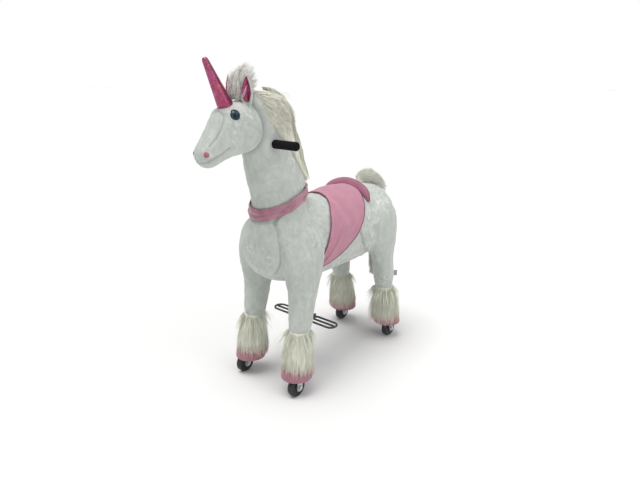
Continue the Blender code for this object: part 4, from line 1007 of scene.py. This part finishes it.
def cuff(sign, side):
    """A long-haired cuff: a hidden pad, its locks, and a few strays that stand off it."""
    rings = []
    for down, flare in cuff_section_shares:
        height = cuff_top - down * (cuff_top - cuff_bottom)
        radius = shank_radius + flare * (cuff_flare_radius - shank_radius) - cuff_pad_inset
        rings.append(level_ring(leg_middle(sign, side, height), radius, radius))
    where = f"{pairs[sign]}_{sides[side]}"
    body = f"{pairs[sign]}_legs"
    pad = loft(f"cuff_pad_{where}", rings, 3)
    finished(pad, under_pile, body, (f"{pairs[sign]}_cuff_{sides[side]}",))
    seed = 10 * (sign + 2) + side
    low = cuff_bottom + cuff_bare_rim
    roots, normals = scattered(
        pad.data, cuff_locks, seed, lambda p, n: p[2] > low and abs(n[2]) < cuff_level_share
    )
    foot = leg_middle(sign, side, cuff_bottom)

    def flow(p):
        out = Vector((p[0] - foot.x, p[1] - foot.y, 0)).normalized() * cuff_outward_share
        return (out.x, out.y, -1.0)

    hair(
        f"cuff_hair_{where}", body, cuff_pile, roots, normals, flow, length=0.068, width=0.0013,
        seed=seed, lift=0.06, sag=0.36, pull=0.55, spread=0.08, clump=0.020, gather=0.34,
        uneven=(0.55, 1.20), floor=0.062, beside=cuff_hair_reach,
    )
    below = roots[:, 2] < cuff_top - stray_drop
    few, sideways = stray_locks.get((sign, side), stray_locks[None])
    hair(
        f"cuff_strays_{where}", body, cuff_pile, roots[below][:few], normals[below][:few],
        lambda p: np.array(flow(p)) + np.array((0, sideways, 0)), length=0.074, width=0.0006,
        seed=seed + 50, lift=0.10, sag=0.34, pull=0.40, spread=0.18, clump=0.012, gather=0.55,
        floor=0.060,
    )


hoof_sides = 16
hoof_section_shares = ((0.0, 0.92), (0.5, 0.98), (0.97, 1.0), (1.0, 0.985))
hoof_hollow_shares = ((0.70, 0.001), (0.62, 0.012), (0.58, 0.034))


def hoof(sign, side):
    """A stuffed hoof, hollow underneath for its wheel."""
    rings = []
    for down, flare in hoof_section_shares:
        height = cuff_bottom - down * (cuff_bottom - hoof_bottom)
        radius = flare * hoof_radius
        rings.append(level_ring(leg_middle(sign, side, height), radius, radius, hoof_sides))
    foot = leg_middle(sign, side, hoof_bottom)
    for share, rise in hoof_hollow_shares:
        radius = share * hoof_radius
        rings.append(level_ring((foot.x, foot.y, hoof_bottom + rise), radius, radius, hoof_sides))
    shell = loft(f"hoof_shell_{pairs[sign]}_{sides[side]}", rings)
    stands_for = (f"{pairs[sign]}_hoof_{sides[side]}",)
    finished(shell, hoof_pink, f"{pairs[sign]}_legs", stands_for)


for sign in (-1, 1):
    for side in (-1, 1):
        cuff(sign, side)
        hoof(sign, side)


# Mane, forelock and tail


def node_form(node, name, shrink, voxel=0.004, smoothing=6):
    """A soft copy of a node's solid, a little inside it."""
    made = skinned(put(name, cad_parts[node].data.copy()), voxel, smoothing)
    return displaced(made, lambda p: np.full(len(p), -shrink))


mane_front_line = (
    (0.690, -0.170), (0.747, -0.200), (0.803, -0.240), (0.842, -0.277), (0.873, -0.306),
    (0.932, -0.322),
)
mane_tip, mane_pad_bottom = Vector((0.044, -0.128, 0.672)), 0.690
mane_root_bottom, mane_hair_bottom = 0.708, 0.652
mane_parting_x, mane_crest_reach = -0.006, 0.085
mane_front_way, mane_crest_way = Vector((0.06, 0.54, -0.84)), Vector((0.03, 0.14, -0.99))
mane_poll_way = Vector((0.32, 0.58, -0.75))
mane_poll_height, mane_tip_height, mane_turn_reach, mane_tip_pull = 0.86, 0.75, 0.05, 0.85


def in_mane(p):
    """Whether a place on the neck lies under the mane, which falls to the animal's left."""
    if not mane_front_line[0][0] < p[2] < mane_front_line[-1][0]:
        return False
    front = np.interp(p[2], *zip(*mane_front_line))
    return p[1] > front + (0 if p[0] > mane_parting_x else mane_crest_reach)


def mane():
    pad = node_form("mane", "mane_pad", shrink=0.013)
    cut_away(pad, (0, 0, mane_pad_bottom), (0, 0, -1))
    finished(pad, under_pile, "steered_head", ("mane",))
    crest, crest_out = scattered(pad.data, count=5000, seed=5)
    neck = neck_form("neck_under_mane")
    flank, flank_out = scattered(
        neck.data, count=64000, seed=7, keep=lambda p, n: in_mane(p) and n[2] > -0.5
    )
    bpy.data.objects.remove(neck)
    roots, normals = np.concatenate([crest, flank]), np.concatenate([crest_out, flank_out])
    kept = roots[:, 2] > mane_root_bottom
    roots, normals = roots[kept], normals[kept]

    def flow(p):
        front = np.interp(p[2], *zip(*mane_front_line))
        crest = min(1, max(0, (p[1] - front) / mane_crest_reach))
        along = mane_front_way.lerp(mane_crest_way, crest)
        if p[2] > mane_poll_height:
            share = min(1, (p[2] - mane_poll_height) / mane_turn_reach)
            along = along.lerp(mane_poll_way, share)
        if p[2] < mane_tip_height:
            share = min(1, (mane_tip_height - p[2]) / mane_turn_reach)
            along = along.lerp((mane_tip - Vector(p)).normalized(), share * mane_tip_pull)
        return along

    hair(
        "mane_hair", "steered_head", cream_pile, roots, normals, flow, length=0.066, width=0.0015,
        seed=6, lift=0.05, sag=0.12, pull=0.60, spread=0.08, clump=0.024, gather=0.45,
        uneven=(0.50, 1.15), floor=mane_hair_bottom,
    )


forelock_foot_height, forelock_front_y, forelock_depth = 0.905, -0.378, 0.045


def forelock():
    """A tuft that stands between the ears and fans out backwards in spikes."""
    pad = node_form("forelock", "forelock_pad", shrink=0.008)
    finished(pad, under_pile, "steered_head", ("forelock",))
    roots, normals = scattered(
        pad.data, count=1900, seed=8, keep=lambda p, n: p[2] > forelock_foot_height
    )

    def flow(p):
        back = min(1, max(0, (p[1] - forelock_front_y) / forelock_depth))
        return (p[0] * (8 + 22 * back), -0.10 + 2.1 * back**1.5, 1.0 - 0.45 * back)

    hair(
        "forelock_hair", "steered_head", white_pile, roots, normals, flow, length=0.062, width=0.0008,
        seed=9, lift=0.16, sag=0.0, pull=0.45, spread=0.26, clump=0.012, gather=0.88,
        uneven=(0.40, 1.25),
    )


tail_root_height, tail_knee_height = 0.565, 0.36


def tail():
    pad = node_form("tail", "tail_pad", shrink=0.004)
    finished(pad, under_pile, "trunk_body", ("tail",))
    roots, normals = scattered(pad.data, count=5200, seed=12)

    def flow(p):
        if p[2] > tail_root_height:
            return (0, 1.0, -0.20)
        return (0, -0.18 if p[2] > tail_knee_height else -0.50, -1.0)

    hair(
        "tail_hair", "trunk_body", tail_pile, roots, normals, flow, length=0.062, width=0.0012,
        seed=13, lift=0.18, sag=0.22, pull=0.45, spread=0.12, clump=0.018, gather=0.50,
        uneven=(0.5, 1.2), floor=0.205,
    )


mane()
forelock()
tail()


# Saddle and collar

cloth_rows, cloth_columns = 44, 44
cloth_creases = (
    ((0.12, 0.16), (0.34, 0.34), (0.56, 0.50), 0.0032, 0.045),
    ((0.30, 0.60), (0.27, 0.74), (0.26, 0.88), 0.0034, 0.050),
    ((0.10, 0.42), (0.16, 0.60), (0.15, 0.76), 0.0024, 0.055),
    ((0.62, 0.20), (0.70, 0.40), (0.66, 0.58), 0.0020, 0.090),
)
crease_fade, crease_shoulder, crease_shoulder_place = 0.1, 0.6, 1.6
saddle_middle_share, cord_lift = 0.55, 0.0006
puff_height, puff_y, puff_length, puff_turn = 0.009, 0.055, 0.045, 0.75
saddle_ripple, saddle_ripple_patch = 0.0007, 22
lip_steps, lip_fade, lip_fade_start = 28, 0.72, 0.62
collar_turns, collar_columns, collar_root_gap, collar_reach = 120, 14, 0.0006, 0.004


def crease_relief(across, down):
    """Folds of the cloth, from places given as shares of its width and of its drop."""
    found = 0.0
    here = np.array((across, down))
    for *line, height, width in cloth_creases:
        gap = np.inf
        for first, second in zip(np.array(line), np.array(line)[1:]):
            run = second - first
            share = np.clip((here - first) @ run / (run @ run), 0, 1)
            gap = min(gap, np.linalg.norm(here - first - share * run))
        start = max(0, (down - line[0][1] + crease_fade) / crease_fade)
        end = max(0, (line[-1][1] + crease_fade - down) / crease_fade)
        shoulder = crease_shoulder * math.exp(-((gap / width - crease_shoulder_place) ** 2))
        found += height * min(1, start, end) * (shoulder - math.exp(-((gap / width) ** 2)))
    return found


def saddle_cloth():
    """A cloth laid over the trunk, narrowing to a point low on each side, with a corded edge."""
    trunk = surface_of(trunk_form())

    def spot(y, fall):
        way = Vector((math.sin(fall), 0, math.cos(fall)))
        return trunk.ray_cast(Vector((0, y, trunk_middle_height)), way)[:2]

    falls = np.linspace(0, math.pi, 400)
    middle_y = trunk_y(saddle_middle_share)
    ups = [(spot(middle_y, fall)[0].z - trunk_middle_height) / trunk_half_height for fall in falls]
    last = float(np.interp(-cloth_edge_shares[-1][0], -np.array(ups), falls))
    rows = []
    for i in range(-cloth_rows, cloth_rows + 1):
        fall = last * i / cloth_rows
        front, rear = cloth_edges(float(np.interp(abs(fall), falls, ups)))
        row = []
        for k in range(cloth_columns + 1):
            across = k / cloth_columns
            y = trunk_y(front + across * (rear - front))
            hit, normal = spot(y, fall)
            far = ((y - puff_y) / puff_length) ** 2 + (fall / puff_turn) ** 2
            relief = crease_relief(across, abs(i) / cloth_rows)
            ripple = saddle_ripple * noise.noise(hit * saddle_ripple_patch)
            row.append(hit + normal * (cloth_lift + puff_height * math.exp(-far) + ripple + relief))
        rows.append(row)
    edge = [row[0] for row in rows] + rows[-1][1:] + [row[-1] for row in reversed(rows[:-1])]
    edge += rows[0][-2:0:-1]
    cloth = quilt("saddle_blanket", rows)
    thickened(refined(cloth), cloth_thickness)
    finished(cloth, saddle_pink, "trunk_body", ("saddle_cloth",))
    cord = [point + Vector((0, 0, cord_lift)) for point in edge]
    piping = swept("saddle_piping", cord, piping_radius, True)
    finished(piping, piping_maroon, "trunk_body")


def saddle_lip():
    """The raised rear lip, a thin padded visor that leans back, with a cord along its top."""
    trunk = surface_of(trunk_form())
    rings, cord = [], []
    for i in range(-lip_steps, lip_steps + 1):
        way = i / lip_steps
        fade = 1 - lip_fade * max(0, (abs(way) - lip_fade_start) / (1 - lip_fade_start)) ** 2
        turn = way * lip_reach
        radial = Vector((math.sin(turn), 0, math.cos(turn)))
        foot = trunk.ray_cast(Vector((0, lip_foot_y, lip_middle_height)), radial)[0]
        out = (radial + along_y * lip_rake_share * math.cos(turn)).normalized()
        high = fade * lip_height / 2
        middle = foot + out * high
        along = Vector((math.cos(turn), 0, -math.sin(turn)))
        side = out.cross(along).normalized()
        thick = fade * lip_half_thickness
        rings.append(ring(middle, side, out, thick, high, high, corner_share=0.10))
        cord.append(middle + out * (high + cord_lift))
    lip = loft("saddle_lip", rings, 1)
    finished(lip, lip_pink, "trunk_body", ("saddle_cantle",))
    finished(swept("lip_piping", cord, piping_radius), piping_maroon, "trunk_body")


def collar_band():
    """A satin band round the foot of the neck, folded along its middle."""
    neck = surface_of(neck_form("neck_for_collar"))
    up = Vector((0, -math.sin(collar_tilt), math.cos(collar_tilt)))
    back = Vector((0, math.cos(collar_tilt), math.sin(collar_tilt)))
    origin = Vector((0, neck_plane_back, collar_plane_height))
    rows = []
    for i in range(collar_turns):
        angle = 2 * math.pi * i / collar_turns
        way = across_x * math.cos(angle) + back * math.sin(angle)
        row = []
        for k in range(collar_columns + 1):
            share = k / collar_columns
            place = origin - up * (collar_root_gap + (1 - share) * collar_width)
            nearer, further = sorted(
                (found.ray_cast(place, way)[0] or place for found in (neck, body_surface)),
                key=lambda spot: (spot - place).length,
            )
            hit = nearer + way * min((further - nearer).length, collar_reach)
            fold = abs(math.sin(2 * math.pi * (share + 0.04 * math.sin(3 * angle)))) ** 0.7
            wrinkle = noise.noise(Vector((math.cos(angle) * 3, math.sin(angle) * 3, share * 2.5)))
            row.append(hit + way * (collar_lift + collar_fold * fold + collar_wrinkle * wrinkle))
        rows.append(row)
    band = quilt("collar_band", rows, wrap=True)
    thickened(refined(band), thickness=0.0016, offset=-1.0)
    finished(band, satin, "trunk_body", ("collar",))


saddle_cloth()
saddle_lip()
collar_band()


# Face

ear_section_shares = (
    (-0.12, 0.55, 0.8),
    (0.10, 0.80, 1.0),
    (0.40, 1.00, 0.9),
    (0.72, 0.68, 0.7),
    (1.00, 0.14, 0.3),
)
ear_turn, ear_points, ear_cloth_share = math.radians(24), 24, 1.04
lining_half_width, lining_bottom, lining_top, lining_lift = 0.80, 0.10, 0.93, 0.0008
gaze_way = (0.93, -0.34, 0.12)


def ear_front(share):
    """The hollow front of an ear across its width, in half thicknesses."""
    return 0.35 * (1 - share**2) - 2.3 * share**2 * (1 - share**2)


def ear(side):
    """An upright ear, hollow in front, with a foil lining."""
    across = Vector((math.cos(ear_turn), side * math.sin(ear_turn), 0))
    back = Vector((-across.y, across.x, 0))

    def middle(along):
        return Vector((side * ear_x, ear_y, ear_base_height + along * ear_length))

    rings = []
    for along, width, thick in ear_section_shares:
        half_width, half_depth = width * ear_half_width, thick * ear_half_thickness
        points = []
        for i in range(ear_points):
            angle = 2 * math.pi * i / ear_points
            share = math.cos(angle)
            deep = math.sin(angle) if math.sin(angle) >= 0 else ear_front(share)
            aside = across * half_width * share * ear_cloth_share
            points.append(middle(along) + aside + back * half_depth * deep)
        rings.append(points)
    skin = loft(f"ear_skin_{sides[side]}", rings)
    finished(skin, plush, "steered_head", (f"ear_{sides[side]}",))
    heights, widths, depths = np.array(ear_section_shares).T
    rows = []
    for along in np.linspace(lining_bottom, lining_top, 15):
        half_width = float(np.interp(along, heights, widths)) * ear_half_width
        half_depth = float(np.interp(along, heights, depths)) * ear_half_thickness
        up = (along - lining_bottom) / (lining_top - lining_bottom)
        narrow = 0.35 + 0.65 * math.sqrt(max(0.02, 1 - (2 * up - 1) ** 2))
        row = []
        for column in np.linspace(-lining_half_width, lining_half_width, 13):
            share = column * narrow
            deep = half_depth * ear_front(share) - lining_lift
            row.append(middle(along) + across * half_width * share + back * deep)
        rows.append(row)
    lining = thickened(refined(quilt(f"ear_lining_{sides[side]}", rows)), thickness=0.0010, offset=0.0)
    finished(lining, foil, "steered_head")


def domed(name, side, place, radius, squash=1.0):
    """A round dome on one side of the head, with its gaze outwards and a little forwards."""
    bm = bmesh.new()
    bmesh.ops.create_uvsphere(bm, u_segments=48, v_segments=32, radius=radius)
    gaze = Vector((side * gaze_way[0], *gaze_way[1:])).normalized()
    middle = (side * place[0], *place[1:])
    turn = gaze.to_track_quat("Z", "Y").to_matrix()
    for point in bm.verts:
        point.co.z *= squash
        point.co = turn @ point.co + Vector(middle)
    made = built(name, bm, False)
    outward = points_of(made.data) - np.array(middle)
    along = outward @ np.array(gaze) / radius
    square = (outward**2).sum(axis=1) / radius**2 - along**2
    noted(made.data, "ring", np.sqrt(np.maximum(0, square)))
    return made


def face():
    for side in (-1, 1):
        where = sides[side]
        ear(side)
        dome = domed(f"eye_dome_{where}", side, eye_place, eye_radius)
        finished(dome, eye, "steered_head", (f"eye_{where}",))
        spot = domed(f"nostril_spot_{where}", side, nostril_place, nostril_radius, 0.9)
        finished(spot, nostril_pink, "steered_head", (f"nostril_{where}",))
    horn = node_form("horn", "horn_foil", shrink=0.0, voxel=0.002, smoothing=3)
    finished(horn, foil, "steered_head", ("horn",))


face()


# Wheels, grips, foot loops and tab


tyre_section = (
    (0.0105, 0.0), (0.0120, 0.0012), (0.0135, 0.0030), (0.0215, 0.0030), (0.0235, 0.0010),
)
tyre_edge, tyre_groove = 0.006, 0.0008


def tyre(sign, side):
    """A wheel, turned from half its section: radius, and how far inside its face."""
    half, rim = wheel_width / 2, wheel_radius - tyre_edge
    profile = [(wheel_bore, half)] + [(radius, half - inset) for radius, inset in tyre_section]
    profile.append((rim, half - tyre_groove / 2))
    for i in range(6):
        angle = math.radians(80 - i * 15)
        rounded = half - tyre_edge + tyre_edge * math.sin(angle)
        profile.append((rim + tyre_edge * math.cos(angle), rounded))
    profile += [(wheel_radius, 2 * tyre_groove), (wheel_radius - tyre_groove, tyre_groove)]
    profile += [(radius, -x) for radius, x in reversed(profile)]
    where = f"{pairs[sign]}_wheel_{sides[side]}"
    place = (side * wheel_x[sign], sign * axle_y, axle_height)
    made = lathed(f"tyre_{pairs[sign]}_{sides[side]}", profile, place)
    finished(made, rubber, where, (where,))


grip_edge, grip_chamfer, grip_end_wall, foam_gap = 0.0055, 0.001, 0.0038, 0.0003


def grip(side):
    """A foam sleeve with a closed, rounded outer end."""
    bore = handle_radius + foam_gap
    profile = [(bore, grip_inner_end), (grip_radius - grip_chamfer, grip_inner_end)]
    profile.append((grip_radius, grip_inner_end + grip_chamfer))
    for i in range(7):
        angle = math.radians(i * 14)
        rounded = grip_radius - grip_edge + grip_edge * math.cos(angle)
        profile.append((rounded, grip_outer_end - grip_edge + grip_edge * math.sin(angle)))
    inside = grip_outer_end - grip_end_wall
    profile += [(0, grip_outer_end), (0, inside), (bore, inside)]
    turned = [(radius, side * along) for radius, along in profile]
    where = sides[side]
    made = lathed(f"grip_foam_{where}", turned, (0, grip_y, grip_height))
    finished(made, foam, "steered_head", (f"grip_{where}",))


wire_gap = 0.0003


def foot_loop(side):
    """A wire bent like a paper clip: out, round, back in, round, and out again."""

    def bent(x, y, radius, start):
        angles = [math.radians(start + i * 7.5) for i in range(25)]
        return [(x + radius * math.cos(a), y + radius * math.sin(a)) for a in angles]

    depth = foot_loop_half_depth
    outer = foot_start + foot_loop_length - depth
    inner = foot_start + foot_wire_radius + wire_gap + depth / 2
    path = [(foot_start, -depth)] + bent(outer, 0, depth, -90) + bent(inner, depth / 2, depth / 2, 90)
    path.append((outer + depth - foot_wire_radius * 2 - wire_gap, 0))
    where = f"foot_loop_{sides[side]}"
    points = [(side * x, foot_y + y, foot_height) for x, y in path]
    made = swept(f"foot_wire_{sides[side]}", points, foot_wire_radius, sides=16)
    finished(made, dark_steel, "foot_rest", (where,))


def sewn_tab():
    """The blank strip sewn into the rear leg's seam, with its edges softened."""
    made = put("tab_strip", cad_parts["sewn_tab"].data.copy())
    softened = made.modifiers.new("soften", "BEVEL")
    softened.width = 0.0006
    softened.segments = 3
    settled(made)
    finished(made, tab_cloth, "rear_legs", ("sewn_tab",))


for side in (-1, 1):
    grip(side)
    foot_loop(side)
    for sign in (-1, 1):
        tyre(sign, side)
sewn_tab()
dress_frame()


# Floor, light and camera


world_strength = 0.50
lamps = (
    ("key", 2.35, 42, (-0.10, -0.18, 1.0), (1.0, 0.99, 0.97)),
    ("side_fill", 0.52, 60, (0.85, 0.20, 0.85), (1.0, 1.0, 1.0)),
)
strip_place, strip_aim = Vector((1.55, -0.10, 1.45)), Vector((0, -0.25, 0.75))
strip_width, strip_height, strip_power = 0.22, 1.5, 3.0


floor_reach, floor_grey = 30.0, (0.775, 0.775, 0.775)
sky_colour, seen_colour = (0.98, 0.99, 1.0, 1), (1, 1, 1, 1)


def hung(name, light, way, place=(0, 0, 0)):
    """Puts a lamp in the scene, shining from that way."""
    lamp = bpy.data.objects.new(name, light)
    lamp.location = place
    lamp.rotation_euler = way.to_track_quat("Z", "Y").to_euler()
    scene.collection.objects.link(lamp)


def stage():
    """A grey floor, a white background, two broad suns and a strip of light beside the saddle."""
    floor = bpy.data.meshes.new("floor")
    corners = [(x * floor_reach, y * floor_reach, 0) for x, y in ((-1, -1), (1, -1), (1, 1), (-1, 1))]
    floor.from_pydata(corners, [], [(0, 1, 2, 3)])
    ground = put("floor", floor)
    made = Look("studio_floor", 0.9, 0.0, floor_grey)
    made.set("Specular IOR Level", 0.0)
    floor.materials.append(made.material)
    world = bpy.data.worlds.new("studio")
    scene.world = world
    world.use_nodes = True
    nodes, links = world.node_tree.nodes, world.node_tree.links
    nodes.clear()
    mixed = nodes.new("ShaderNodeMixShader")
    path = nodes.new("ShaderNodeLightPath")
    links.new(path.outputs["Is Camera Ray"], mixed.inputs[0])
    for place, colour, strength in ((1, sky_colour, world_strength), (2, seen_colour, 1.0)):
        back = nodes.new("ShaderNodeBackground")
        back.inputs["Color"].default_value = colour
        back.inputs["Strength"].default_value = strength
        links.new(back.outputs[0], mixed.inputs[place])
    links.new(mixed.outputs[0], nodes.new("ShaderNodeOutputWorld").inputs["Surface"])
    for name, energy, spread, source, colour in lamps:
        light = bpy.data.lights.new(name, "SUN")
        light.energy, light.angle, light.color = energy, math.radians(spread), colour
        hung(name, light, Vector(source))
    light = bpy.data.lights.new("strip", "AREA")
    light.shape, light.energy = "RECTANGLE", strip_power
    light.size, light.size_y = strip_width, strip_height
    hung("strip", light, strip_place - strip_aim, strip_place)


def photograph():
    data = bpy.data.cameras.new("camera")
    data.sensor_width = camera_sensor
    data.lens = camera_lens
    data.clip_start, data.clip_end = 0.01, 100
    made = bpy.data.objects.new("camera", data)
    made.location = camera_place
    made.rotation_mode = "XYZ"
    turn = camera_azimuth_degrees
    made.rotation_euler = (math.radians(90 - camera_pitch_degrees), 0, math.radians(turn))
    scene.collection.objects.link(made)
    scene.camera = made


stage()
photograph()
scene.view_settings.view_transform = "Standard"
